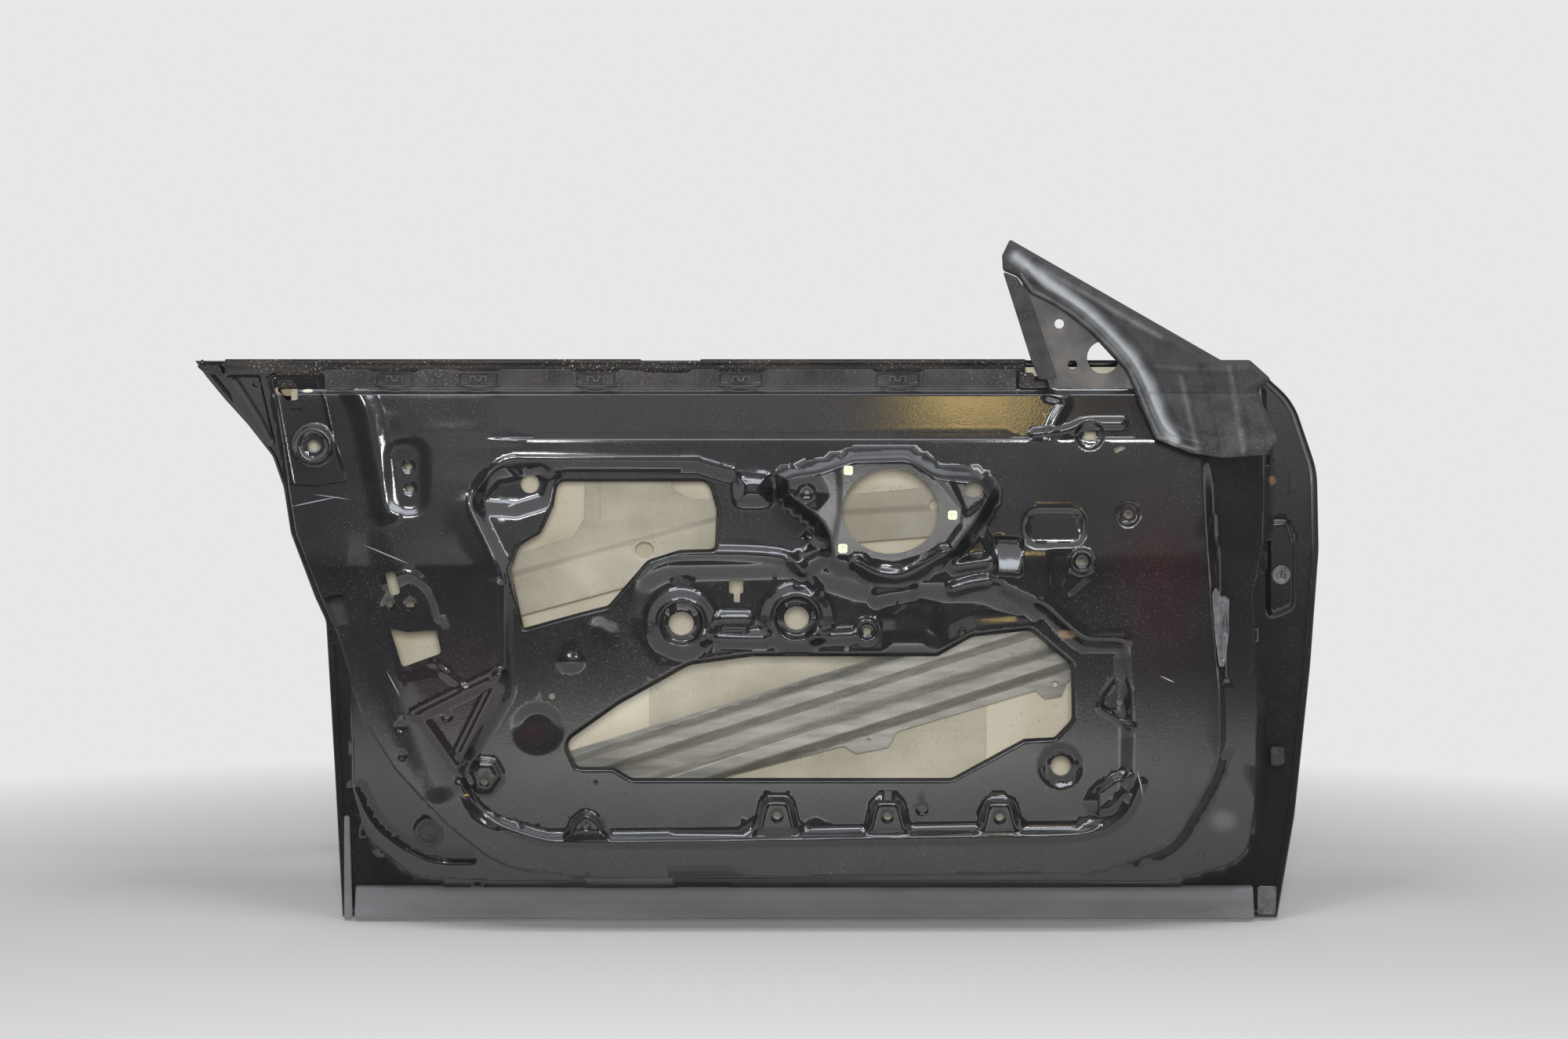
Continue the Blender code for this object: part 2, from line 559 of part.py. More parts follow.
def panel_back(u, v):
    """Depth of the inner panel's far side."""
    return panel_depth(u, v) + INNER_SHEET


def panel_seat(u, v):
    """Depth of the back of a piece that lies on the panel."""
    return panel_depth(u, v) - SEAT_GAP


def behind_panel(u, v):
    """Depth of the front of a piece that lies behind the panel."""
    return panel_back(u, v) + SEAT_GAP


def bend_lines(outline):
    """The rows where the inner face bends, across an outline."""
    low, high = outline.min(axis=0), outline.max(axis=0)
    return [((low[0], row), (high[0], row)) for row in face_rows_px if low[1] < row < high[1]]


def triangulated(outline, holes, loops, lines):
    """Points and triangles that fill the outline and keep out of the holes."""
    points, edges = [], []
    for loop in [outline, *holes, *loops]:
        first = len(points)
        points += [Vector(point) for point in loop]
        edges += [(first + index, first + (index + 1) % len(loop)) for index in range(len(loop))]
    for line in lines:
        first = len(points)
        points += [Vector(point) for point in line]
        edges += [(first + index, first + index + 1) for index in range(len(line) - 1)]
    places, _, faces, *_ = delaunay_2d_cdt(points, edges, [], INSIDE_ONLY, WELD_PX)
    places = np.array([tuple(place_2d) for place_2d in places])
    faces = np.array([tuple(face) for face in faces])
    middles = places[faces].mean(axis=1)
    keep = inside(outline, middles[:, 0], middles[:, 1])
    for hole in holes:
        keep &= ~inside(hole, middles[:, 0], middles[:, 1])
    return places, faces[keep]


def slab(name, outline, near, far, finish, holes=(), loops=(), lines=()):
    """Closed solid between two depths that are functions of the place."""
    places, faces = triangulated(outline, list(holes), list(loops), list(lines))
    used = np.unique(faces)
    order = {int(old): new for new, old in enumerate(used)}
    faces = [[order[int(corner)] for corner in face] for face in faces]
    u, v = places[used, 0], places[used, 1]
    near_depths = np.broadcast_to(near(u, v), u.shape)
    far_depths = np.broadcast_to(far(u, v), u.shape)
    mesh = bmesh.new()
    near_points = [mesh.verts.new(place(*item)) for item in zip(u, v, near_depths)]
    far_points = [mesh.verts.new(place(*item)) for item in zip(u, v, far_depths)]
    rim = {}
    for face in faces:
        a, b, c = face
        if np.cross(places[used[b]] - places[used[a]], places[used[c]] - places[used[a]]) < 0:
            a, b, c = a, c, b
        mesh.faces.new((near_points[a], near_points[b], near_points[c]))
        mesh.faces.new((far_points[a], far_points[c], far_points[b]))
        for start, end in ((a, b), (b, c), (c, a)):
            if (end, start) in rim:
                del rim[(end, start)]
            else:
                rim[(start, end)] = True
    for start, end in rim:
        mesh.faces.new((near_points[end], near_points[start], far_points[start], far_points[end]))
    return finished(name, mesh, finish)


def finished(name, mesh, finish):
    """Object made from a closed mesh, with its faces pointing out."""
    bmesh.ops.triangulate(mesh, faces=mesh.faces[:])
    bmesh.ops.recalc_face_normals(mesh, faces=mesh.faces[:])
    data = bpy.data.meshes.new(name)
    mesh.to_mesh(data)
    mesh.free()
    data.materials.append(finish)
    piece = bpy.data.objects.new(name, data)
    bpy.context.scene.collection.objects.link(piece)
    return piece


def at(depth):
    """A depth that is the same everywhere."""
    return lambda u, v: depth


def above(surface, height):
    """A depth nearer than a surface by a height."""
    return lambda u, v: surface(u, v) - height


def disc(name, centre, radii, level_shares, rise, far, finish, sides=WIDE_SIDES):
    """Turned piece: rings of pixel radii, each with its share of the whole rise above the far side."""
    rings = [ellipse(centre, radius, radius, sides) for radius in radii]

    def near(u, v):
        distance = np.hypot(u - centre[0], v - centre[1])
        return far(u, v) - rise * np.interp(distance, radii[::-1], level_shares[::-1])
    return slab(name, rings[0], near, far, finish, loops=rings[1:])


def material(name, colour, roughness, metallic=0):
    """Principled material."""
    finish = bpy.data.materials.new(name)
    finish.use_nodes = True
    shader = finish.node_tree.nodes["Principled BSDF"]
    shader.inputs["Base Color"].default_value = (*colour, 1)
    shader.inputs["Roughness"].default_value = roughness
    shader.inputs["Metallic"].default_value = metallic
    return finish


def build_inner_panel(paint):
    """Stamped inner panel with its openings, formed shapes, jambs and flange."""
    holes = [UPPER_OPENING, LOWER_OPENING, SPEAKER_HOLE]
    holes += [rounded(outline) for outline in (
        latch_window_px, latch_slot_px, rear_cutout_px, keyhole_px, square_hole_px, tilted_slot_px,
        flange_hole_px, flange_slot_px, lip_window_px)]
    holes += [ellipse((u, v), across, down, HOLE_SIDES if across < widest_small_hole_px else WIDE_SIDES)
              for u, v, across, down in round_holes_px]
    loops = [BORDER, JAMB, border_foot(), jamb_foot()]
    for shape in FORMED + FLANGE_FORMED:
        loops += shape.loops()
    loops += [moved_edge(opening, rim_slope_px) for opening in (UPPER_OPENING, LOWER_OPENING)]
    return slab("inner_panel", FLANGE, panel_depth, panel_back, paint, holes=holes,
                loops=loops, lines=bend_lines(FLANGE))


def build_outer_skin(paint):
    """Outer skin: a bowed sheet whose edge is folded into a lip."""
    low, high = narrow_lip_rows_px
    narrow = (SKIN[:, 0] < narrow_lip_column_px) & (SKIN[:, 1] > low) & (SKIN[:, 1] < high)
    lip_width = np.where(narrow, narrow_lip_px, lip_px)
    fold = moved_edge(SKIN, -fold_px)
    lip_edge = moved_edge(SKIN, -lip_width)
    handles = [rounded(handle_front_px), rounded(handle_rear_px)]
    rows = np.arange(skin_rows_px[0] + LONGEST_EDGE_PX, skin_rows_px[1], LONGEST_EDGE_PX)
    columns = np.arange(*skin_columns_px, 2 * LONGEST_EDGE_PX)
    grid = [(u, v) for u in columns for v in rows]
    mesh = bmesh.new()
    skin_inside = above(skin_depth, OUTER_SHEET)
    lip_outside = above(skin_inside, hem_pocket())
    outer = sheet_side(mesh, SKIN, handles, grid, skin_depth)
    inner = sheet_side(mesh, fold, handles, grid, skin_inside)
    for near_ring, far_ring in zip(inner[1:], outer[1:]):
        join_rings(mesh, near_ring, far_ring)
    under_lip = ring_at(mesh, fold, lip_outside)
    under_edge = ring_at(mesh, lip_edge, lip_outside)
    over_edge = ring_at(mesh, lip_edge, lip_depth)
    over_fold = ring_at(mesh, SKIN, lip_depth)
    rings = (inner[0], under_lip, under_edge, over_edge, over_fold, outer[0])
    for start, end in zip(rings[:-1], rings[1:]):
        join_rings(mesh, start, end)
    return finished("outer_skin", mesh, paint)


def ring_at(mesh, outline, depth):
    """Ring of vertices along an outline at a depth."""
    depths = depth(outline[:, 0], outline[:, 1])
    return [mesh.verts.new(place(u, v, item)) for (u, v), item in zip(outline, depths)]


def join_rings(mesh, start, end):
    """Band of faces between two rings with the same number of vertices."""
    count = len(start)
    for index in range(count):
        after = (index + 1) % count
        mesh.faces.new((start[index], start[after], end[after], end[index]))


def sheet_side(mesh, outline, holes, grid, depth):
    """One side of a sheet, filled between its outline and its holes. Returns the rings of vertices."""
    rings = [ring_at(mesh, loop, depth) for loop in [outline, *holes]]
    corners = np.concatenate([outline, *holes])
    u, v = np.array(grid).T
    clear = edge_distance(outline, u, v) < -LONGEST_EDGE_PX / 3
    for hole in holes:
        clear &= edge_distance(hole, u, v) > LONGEST_EDGE_PX / 3
    free = np.array(grid)[clear]
    points = [Vector(item) for item in np.concatenate([corners, free])]
    edges, first = [], 0
    for loop in [outline, *holes]:
        edges += [(first + index, first + (index + 1) % len(loop)) for index in range(len(loop))]
        first += len(loop)
    places, _, faces, sources, *_ = delaunay_2d_cdt(points, edges, [], INSIDE_ONLY, WELD_PX)
    vertices = [vertex for ring in rings for vertex in ring] + ring_at(mesh, free, depth)
    for face in faces:
        middle = sum((places[corner] for corner in face), Vector((0, 0))) / len(face)
        within = inside(outline, middle.x, middle.y)
        for hole in holes:
            within = within and not inside(hole, middle.x, middle.y)
        if within:
            mesh.faces.new([vertices[sources[corner][0]] for corner in face])
    return rings


def build_waist(paint, spring_steel):
    """Waist reinforcement, inner rail with its clips, and the blocks at their ends."""
    far = above(lip_depth, SEAT_GAP)
    slab("waist_outer_reinforcement", resampled(rounded(waist_outer_px)),
         above(far, WAIST_BOX), far, paint)
    slab("waist_tip", rounded(waist_tip_px), above(far, WAIST_BOX), far, paint)
    top, foot = rail_pocket_rows_px
    rail_far = WAIST_FLANGE_DEPTH - SEAT_GAP
    pockets = []
    for left, right in rail_pockets_px:
        pocket = rectangle(left, right, top, foot, rail_pocket_radius_px)
        pockets.append(Formed(pocket, wall_slope_px, RAIL_POCKET))

    def rail_back(u, v):
        depth = np.full(np.shape(u), rail_far - RAIL_POCKET)
        for pocket in pockets:
            depth = pocket.add(u, v, depth)
        return depth

    loops = [loop for pocket in pockets for loop in pocket.loops()]
    slab("waist_inner_rail", rounded(rail_px), above(rail_back, INNER_SHEET), rail_back, paint, loops=loops)
    across, down = clip_half_px
    clip_far = rail_far - INNER_SHEET - SEAT_GAP
    for number, (left, right) in enumerate(rail_pockets_px, start=1):
        u, v = (left + right) / 2, (top + foot) / 2
        outline = rectangle(u - across, u + across, v - down, v + down, clip_radius_px)
        folds = [((u + side, v - down), (u + side, v + down)) for side in (-across / 2, across / 2)]

        def near(places_u, places_v, u=u):
            share = np.clip(2 - 2 * np.abs(places_u - u) / across, 0, 1)
            return clip_far - CLIP_SHEET - CLIP_RISE * share
        slab(f"rail_clip_{number}", outline, near, at(clip_far), spring_steel, lines=folds)
    slab("rail_end_block", rounded(end_block_px), at(rail_far - POCKET_DEPTH), at(rail_far), paint)


def build_mirror_corner(paint, rubber):
    """Mirror bracket, the post behind the window and the rubber moulding over them."""
    bracket_far = WAIST_FLANGE_DEPTH - SEAT_GAP
    bracket_near = bracket_far - BRACKET_SHEET
    holes = [ellipse((u, v), across, down) for u, v, across, down in mirror_holes_px]
    rings = [ellipse((u, v), 2 * across, 2 * down) for u, v, across, down in mirror_holes_px[:2]]
    slab("mirror_bracket", rounded(mirror_bracket_px), at(bracket_near), at(bracket_far), paint,
         holes=holes, loops=rings)
    slab("window_post", rounded(post_px), at(bracket_near - SEAT_GAP - POST_THICKNESS),
         at(bracket_near - SEAT_GAP), paint)
    outline = rounded(mirror_seal_px)

    def seal_far(u, v):
        return np.minimum(face_depth(v), bracket_near) - SEAT_GAP

    def seal_near(u, v):
        fold = np.clip(line_distance(mirror_seal_fold_px, u, v) / mirror_seal_crown_px, 0, 1)
        crown = np.clip(-edge_distance(outline, u, v) / mirror_seal_crown_px, 0, 1)
        return (seal_far(u, v) - MIRROR_SEAL_EDGE
                - (MIRROR_SEAL_CROWN - MIRROR_SEAL_EDGE) * crown * (1 - fold / 2))

    slab("mirror_seal", outline, seal_near, seal_far, rubber,
         loops=(moved_edge(outline, -mirror_seal_crown_px / 2),),
         lines=(mirror_seal_fold_px, *bend_lines(outline)))


def build_cavity(primer, bare_steel, pad):
    """Brace, impact beam with its end brackets, damping pad and hinge plates inside the door."""
    crease = brace_crease_px
    plane = float(lip_depth(*brace_seat_px)) - WAIST_BOX - INNER_SHEET - 2 * SEAT_GAP

    def brace_near(u, v):
        line = np.interp(u, [item[0] for item in crease], [item[1] for item in crease])
        return plane - BRACE_CREASE * np.clip((v - line) / brace_crease_width_px, 0, 1)
    crease_foot = [(u, v + brace_crease_width_px) for u, v in crease]
    slab("belt_brace", rounded(brace_px), brace_near, above(brace_near, -INNER_SHEET), primer,
         holes=(ellipse(brace_hole_px[:2], *brace_hole_px[2:]),
                ellipse(brace_small_hole_px[:2], *brace_small_hole_px[2:], SMALL_SIDES)),
         lines=(crease, crease_foot))
    (u0, v0), (u1, v1) = beam_axis_px
    slope = (v1 - v0) / (u1 - u0)

    def beam_near(u, v):
        share = (v - v0 - slope * (u - u0)) / beam_width_px
        return BEAM_DEPTH + BEAM_WAVE * (1 - np.interp(share, beam_fold_shares, beam_wave_shares))
    end = (u1 + beam_fold_overrun_px, v1 + slope * beam_fold_overrun_px)
    folds = [((u0, v0 + share * beam_width_px), (end[0], end[1] + share * beam_width_px))
             for share in beam_fold_shares]
    slab("impact_beam", np.array(beam_px, float), beam_near, above(beam_near, -BEAM_SHEET), bare_steel,
         holes=[ellipse((u, v), radius, radius, SMALL_SIDES) for u, v, radius in beam_holes_px], lines=folds)
    skin_side = above(skin_depth, OUTER_SHEET + SEAT_GAP)
    outline = resampled(rounded(pad_px))
    low, high = outline.min(axis=0), outline.max(axis=0)
    rows = np.arange(low[1] + LONGEST_EDGE_PX, high[1], LONGEST_EDGE_PX)
    slab("damping_pad", outline, above(skin_side, PAD_THICKNESS), skin_side, pad,
         lines=[((low[0], row), (high[0], row)) for row in rows])
    build_beam_brackets(bare_steel, beam_near)
    plate_back = above(behind_panel, -HINGE_PLATE)
    slab("upper_hinge_plate", rounded(upper_hinge_px), behind_panel, plate_back, bare_steel)
    slab("lower_hinge_plate", rounded(lower_hinge_px), behind_panel, plate_back, bare_steel)


def build_beam_brackets(finish, beam_near):
    """Brackets that carry the ends of the beam from the back of the panel: a foot plate with one web."""
    for name, corners in (("beam_rear_bracket", beam_rear_bracket_px),
                          ("beam_front_bracket", beam_front_bracket_px)):
        outline = rounded(corners)
        middle = (corners[0][0] + corners[1][0]) / 2
        web, foot = bracket_web_px / 2, bracket_web_px / 2 + bracket_slope_px
        face = float(np.max(behind_panel(outline[:, 0], outline[:, 1])))
        near_beam = float(np.min(beam_near(outline[:, 0], outline[:, 1]))) - SEAT_GAP

        def near(u, v, middle=middle, web=web, foot=foot, face=face, near_beam=near_beam):
            share = np.clip((foot - np.abs(u - middle)) / (foot - web), 0, 1)
            return near_beam - HINGE_PLATE - (near_beam - HINGE_PLATE - face) * share
        top, bottom = corners[0][1], corners[2][1]
        lines = [((middle + side, top), (middle + side, bottom)) for side in (-foot, -web, web, foot)]
        slab(name, outline, near, at(near_beam), finish, lines=lines)


def build_corner_plates(paint, bare_steel, dull_steel):
    """Plates welded on the panel: gusset, latch plates, small bracket and the strips of the front flange."""
    lip_seat = above(lip_depth, SEAT_GAP)
    slab("rear_corner_gusset", rounded(gusset_px), above(lip_seat, INNER_SHEET), lip_seat, paint,
         holes=(ellipse(gusset_hole_px[:2], *gusset_hole_px[2:], SMALL_SIDES),))
    outline = rounded(latch_plate_px)
    bore, (outer, inner) = latch_bore_px, latch_plate_boss_radii_px
    boss = Formed(ellipse(bore[:2], outer, outer, EMBOSS_SIDES), outer - inner, -BOSS_RISE)

    def plate_back(u, v):
        return boss.add(u, v, panel_seat(u, v))
    holes = [rounded(latch_plate_slot_px), rounded(lip_window_px), ellipse(bore[:2], *bore[2:]),
             ellipse(latch_plate_hole_px[:2], *latch_plate_hole_px[2:], SMALL_SIDES)]
    slab("latch_reinforcement", outline, above(plate_back, INNER_SHEET), plate_back, paint, holes=holes,
         loops=boss.loops(), lines=bend_lines(outline))
    bracket = rounded(latch_bracket_px)
    near = float(np.max(behind_panel(bracket[:, 0], bracket[:, 1])))
    slab("latch_bracket", bracket, at(near), at(near + HINGE_PLATE), dull_steel)
    outline = rounded(small_bracket_px)
    slab("small_bracket", outline, above(panel_seat, INNER_SHEET), panel_seat, paint,
         holes=[ellipse(item[:2], *item[2:], SMALL_SIDES) for item in small_bracket_holes_px],
         lines=bend_lines(outline))
    flange_seat = above(panel_depth, HEM_CLEARANCE)
    slab("front_flange_strip", resampled(rounded(strip_px)), above(flange_seat, INNER_SHEET), flange_seat,
         paint)
    slab("front_corner_plate", rounded(corner_plate_px), above(lip_depth, SEAT_GAP + INNER_SHEET),
         above(lip_depth, SEAT_GAP), dull_steel)
    foot = border_foot()
    column, top, bottom = check_bracket_zone_px
    near_bracket = (foot[:, 0] > column) & (foot[:, 1] > top) & (foot[:, 1] < bottom)
    slab("check_strap_bracket", rounded(check_bracket_px), at(CHECK_BRACKET_DEPTH), panel_seat, dull_steel,
         lines=(foot[near_bracket],))


def build_small_pieces(paint, clip_plastic, rubber, dull_steel):
    """Clips, plug, weld nuts, screw and buffer."""
    for number, (u, v) in enumerate(speaker_clips_px, start=1):
        half = speaker_clip_half_px
        outline = rectangle(u - half, u + half, v - half, v + half, speaker_clip_radius_px)
        slab(f"speaker_clip_{number}", outline, above(panel_seat, SPEAKER_CLIP_RISE), panel_seat,
             clip_plastic)
    disc("corner_plug", plug_px, plug_radii_px, plug_level_shares, PLUG_RISE, panel_seat, rubber)
    for number, (u, v, outer) in enumerate(nuts_px, start=1):
        bore = outer * nut_bore_share
        outline = ellipse((u, v), outer, outer, NUT_SIDES)
        slab(f"weld_nut_{number}", outline, behind_panel, above(behind_panel, -NUT_HEIGHT), dull_steel,
             holes=(ellipse((u, v), bore, bore),), lines=bend_lines(outline))
    disc("flange_screw", screw_px, screw_radii_px, screw_level_shares, SCREW_RISE,
         above(panel_depth, HEM_CLEARANCE), dull_steel)
    slab("edge_buffer", rounded(buffer_px), above(panel_depth, BUFFER_RISE),
         above(panel_depth, HEM_CLEARANCE), rubber)


def build_lower_seals(rubber):
    """Rubber strip along the sill with its bead, and the short seal at the rear edge."""
    seat = above(lip_depth, SEAT_GAP)
    outline = resampled(rounded(sill_seal_px))
    low, high = outline.min(axis=0), outline.max(axis=0)
    rows = (low[1], sill_bead_row_px, sill_groove_row_px, high[1])
    heights = (SILL_SEAL_EDGE, SILL_SEAL_BEAD, SILL_SEAL_EDGE, SILL_SEAL_BEAD)

    def near(u, v):
        return seat(u, v) - np.interp(v, rows, heights)
    lines = [((low[0], row), (high[0], row)) for row in rows[1:3]]
    slab("sill_seal", outline, near, seat, rubber, lines=lines)
    slab("rear_edge_seal", resampled(rounded(rear_seal_px)), above(seat, SILL_SEAL_EDGE / 2), seat, rubber)


def stand_on_origin():
    """Moves the whole door so that its box stands on the origin."""
    pieces = [piece for piece in bpy.context.scene.objects if piece.type == "MESH"]
    corners = np.array([vertex.co for piece in pieces for vertex in piece.data.vertices])
    low, high = corners.min(axis=0), corners.max(axis=0)
    shift = Vector((-(low[0] + high[0]) / 2, -(low[1] + high[1]) / 2, -low[2]))
    for piece in pieces:
        piece.data.transform(Matrix.Translation(shift))
    return shift


def main():
    for old in list(bpy.data.objects):
        bpy.data.objects.remove(old)
    paint = material("black_paint", (0.012, 0.012, 0.013), 0.2)
    spring_steel = material("black_spring_steel", (0.03, 0.03, 0.03), 0.4)
    rubber = material("black_rubber", (0.06, 0.06, 0.06), 0.7)
    primer = material("grey_primer", (0.4, 0.38, 0.32), 0.5)
    bare_steel = material("zinc_coated_steel", (0.35, 0.34, 0.3), 0.4, 0.6)
    pad = material("damping_foil", (0.45, 0.43, 0.36), 0.6)
    dull_steel = material("dull_steel", (0.12, 0.12, 0.12), 0.5, 0.5)
    clip_plastic = material("cream_plastic", (0.7, 0.72, 0.55), 0.4)
    build_inner_panel(paint)
    build_outer_skin(paint)
    build_waist(paint, spring_steel)
    build_mirror_corner(paint, rubber)
    build_cavity(primer, bare_steel, pad)
    build_corner_plates(paint, bare_steel, dull_steel)
    build_small_pieces(paint, clip_plastic, rubber, dull_steel)
    build_lower_seals(rubber)
    return stand_on_origin()


SHIFT = main()
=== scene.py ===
"""Left front door shell of a two-door car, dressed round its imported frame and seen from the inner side.

Sheets are laid out in the photograph's plane: a place is a pair of pixels (u to the right, v down) and a
depth in metres, counted from the door's lower inner face towards the outside of the car.
"""

import logging
import math
from collections.abc import Callable, Sequence
from dataclasses import dataclass
from enum import Enum

import bmesh
import bpy
import numpy as np
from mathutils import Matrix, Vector
from mathutils.geometry import delaunay_2d_cdt


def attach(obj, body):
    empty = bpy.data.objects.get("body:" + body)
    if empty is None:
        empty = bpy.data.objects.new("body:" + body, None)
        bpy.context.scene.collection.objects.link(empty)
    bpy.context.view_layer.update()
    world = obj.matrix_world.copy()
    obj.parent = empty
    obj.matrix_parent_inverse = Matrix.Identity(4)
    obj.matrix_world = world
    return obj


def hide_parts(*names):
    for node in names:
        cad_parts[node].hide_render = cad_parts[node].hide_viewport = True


log = logging.getLogger("door_shell")
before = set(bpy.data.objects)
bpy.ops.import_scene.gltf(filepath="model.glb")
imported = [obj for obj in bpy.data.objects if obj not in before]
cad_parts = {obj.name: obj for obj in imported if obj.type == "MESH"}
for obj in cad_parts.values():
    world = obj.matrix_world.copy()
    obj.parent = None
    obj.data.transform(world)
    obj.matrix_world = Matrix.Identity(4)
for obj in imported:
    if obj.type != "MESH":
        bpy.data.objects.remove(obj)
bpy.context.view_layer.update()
Array = np.ndarray
Field = Callable[[Array, Array], Array]

# Photograph plane: metres a pixel at depth 0, distance of the camera, picture centre, CAD origin
PIXEL = 1.36 / 1432
VIEW = 2.82
CENTRE = (1000.0, 662.5)
SHIFT = (0.0312451, -0.0679525, 0.5028945)
# Gap between a piece and what it lies on
SEAT = 0.0003


def place(u: Array, v: Array, depth: Array) -> Array:
    """World places of pixels at their depths.

    Args: u, v: pixels. depth: metres.
    Returns: one row of x, y, z for each.
    """
    scale = PIXEL * (1 + depth / VIEW)
    return np.stack([(u - CENTRE[0]) * scale + SHIFT[0], depth + SHIFT[1],
                     (CENTRE[1] - v) * scale + SHIFT[2]], axis=-1)


def spot(u: float, v: float, depth: float = 0.0) -> Vector:
    """World place of one pixel."""
    return Vector(place(np.float64(u), np.float64(v), np.float64(depth)))


def smooth(share: Array) -> Array:
    """Share with soft ends, as a pressed bend has."""
    share = np.clip(share, 0, 1)
    return share * share * (3 - 2 * share)


def rounded(corners: Sequence[tuple[float, float, float]], chord: float = 4.0) -> Array:
    """Closed outline through corners that each have their own radius.

    Args: corners: (u, v, radius) for each. chord: longest piece of an arc.
    Returns: the outline's points.
    """
    points: list[Array] = []
    for index, corner in enumerate(corners):
        apex = np.array(corner[:2], float)
        before = np.array(corners[index - 1][:2], float) - apex
        after = np.array(corners[(index + 1) % len(corners)][:2], float) - apex
        reach = min(np.hypot(*before), np.hypot(*after)) / 2
        before, after = before / np.hypot(*before), after / np.hypot(*after)
        turn = math.pi - math.acos(float(np.clip(before @ after, -1, 1)))
        cut = min(corner[2] * math.tan(turn / 2), reach * 0.98)
        steps = max(1, math.ceil(corner[2] * turn / chord))
        start, end = apex + before * cut, apex + after * cut
        for step in range(steps + 1):
            share = step / steps
            points.append((1 - share) ** 2 * start + 2 * share * (1 - share) * apex + share ** 2 * end)
    kept = [point for index, point in enumerate(points) if np.hypot(*(point - points[index - 1])) > 0.5]
    return np.array(kept)


def divided(outline: Array, longest: float) -> Array:
    """The outline with its long edges divided.

    Args: outline: corners. longest: pixels from one point to the next, at most.
    Returns: the points.
    """
    points: list[Array] = []
    for start, end in zip(outline, np.roll(outline, -1, axis=0)):
        pieces = max(1, math.ceil(np.hypot(*(end - start)) / longest))
        points += [start + (end - start) * piece / pieces for piece in range(pieces)]
    return np.array(points)


def ellipse(u: float, v: float, across: float, down: float, sides: int = 28) -> Array:
    """Closed ellipse."""
    turns = (np.arange(sides) + 0.5) * 2 * math.pi / sides
    return np.stack([u + across * np.cos(turns), v + down * np.sin(turns)], axis=1)


def box(left: float, right: float, top: float, foot: float, radius: float) -> Array:
    """Closed rectangle with rounded corners."""
    return rounded(((left, top, radius), (right, top, radius), (right, foot, radius), (left, foot, radius)))


def moved(outline: Array, distance: Array | float) -> Array:
    """The closed outline moved outwards, or inwards for a negative distance.

    Args: outline: points. distance: pixels, one for all or one for each point.
    Returns: the points.
    """
    before = outline - np.roll(outline, 1, axis=0)
    after = np.roll(outline, -1, axis=0) - outline
    before = before / np.linalg.norm(before, axis=1)[:, None]
    after = after / np.linalg.norm(after, axis=1)[:, None]
    tangent = before + after
    tangent /= np.linalg.norm(tangent, axis=1)[:, None]
    turned = np.roll(outline, -1, axis=0)
    side = np.sign(np.sum(outline[:, 0] * turned[:, 1] - turned[:, 0] * outline[:, 1]))
    normal = np.stack([tangent[:, 1], -tangent[:, 0]], axis=1) * side
    stretch = np.maximum(np.sum(tangent * after, axis=1), 0.6)
    return outline + normal * (np.broadcast_to(distance, len(outline)) / stretch)[:, None]


def off_segments(starts: Array, ends: Array, u: Array, v: Array, reach: float) -> Array:
    """Distance from the nearest segment, no more than reach. The places come sorted by v.

    Args: starts, ends: of the segments. u, v: pixels. reach: pixels.
    Returns: pixels for each.
    """
    nearest = np.full(u.shape, float(reach))
    for (u0, v0), (u1, v1) in zip(starts, ends):
        low, high = np.searchsorted(v, (min(v0, v1) - reach, max(v0, v1) + reach))
        if low == high:
            continue
        near_u, near_v = u[low:high] - u0, v[low:high] - v0
        du, dv = u1 - u0, v1 - v0
        along = np.clip((near_u * du + near_v * dv) / max(du * du + dv * dv, 1e-9), 0, 1)
        span = np.hypot(near_u - along * du, near_v - along * dv)
        np.minimum(nearest[low:high], span, out=nearest[low:high])
    return nearest


def off_edge(outline: Array, u: Array, v: Array, reach: float = 60.0) -> Array:
    """Distance outside a closed outline, negative inside it. The places come sorted by v.

    Args: outline: points. u, v: pixels. reach: pixels.
    Returns: pixels for each.
    """
    ends = np.roll(outline, -1, axis=0)
    nearest = off_segments(outline, ends, u, v, reach)
    crossed = np.zeros(u.shape, bool)
    for (u0, v0), (u1, v1) in zip(outline, ends):
        low, high = np.searchsorted(v, (min(v0, v1), max(v0, v1)))
        if low < high:
            crossed[low:high] ^= u[low:high] < (u1 - u0) * (v[low:high] - v0) / (v1 - v0) + u0
    return np.where(crossed, -nearest, nearest)


def off_line(points: Sequence[tuple[float, float]], u: Array, v: Array, reach: float = 60.0) -> Array:
    """Distance from an open line. The places come sorted by v."""
    line = np.array(points, float)
    return off_segments(line[:-1], line[1:], u, v, reach)


def sampled(form: Field, u: Array, v: Array) -> Array:
    """A field at places in any order.

    Args: form: the field. u, v: pixels.
    Returns: a value for each.
    """
    order = np.argsort(v, kind="stable")
    values = np.empty(u.shape)
    values[order] = np.broadcast_to(form(u[order], v[order]), u.shape)
    return values


def softened(points: Sequence[tuple[float, float]]) -> Array:
    """An open line with its corners cut twice.

    Args: points: of the line.
    Returns: the new points.
    """
    line = np.array(points, float)
    for _ in range(2 if len(line) > 2 else 0):
        cut = np.concatenate([line[:-1] * 0.75 + line[1:] * 0.25, line[:-1] * 0.25 + line[1:] * 0.75], axis=1)
        line = np.concatenate([line[:1], cut.reshape(-1, 2), line[-1:]])
    return line


def averaged(values: Array, count: int) -> Array:
    """Values averaged over an odd count of neighbours, the nearer ones more."""
    weights = np.hanning(count) / np.hanning(count).sum()
    return np.convolve(np.pad(values, count // 2, mode="edge"), weights, mode="valid")


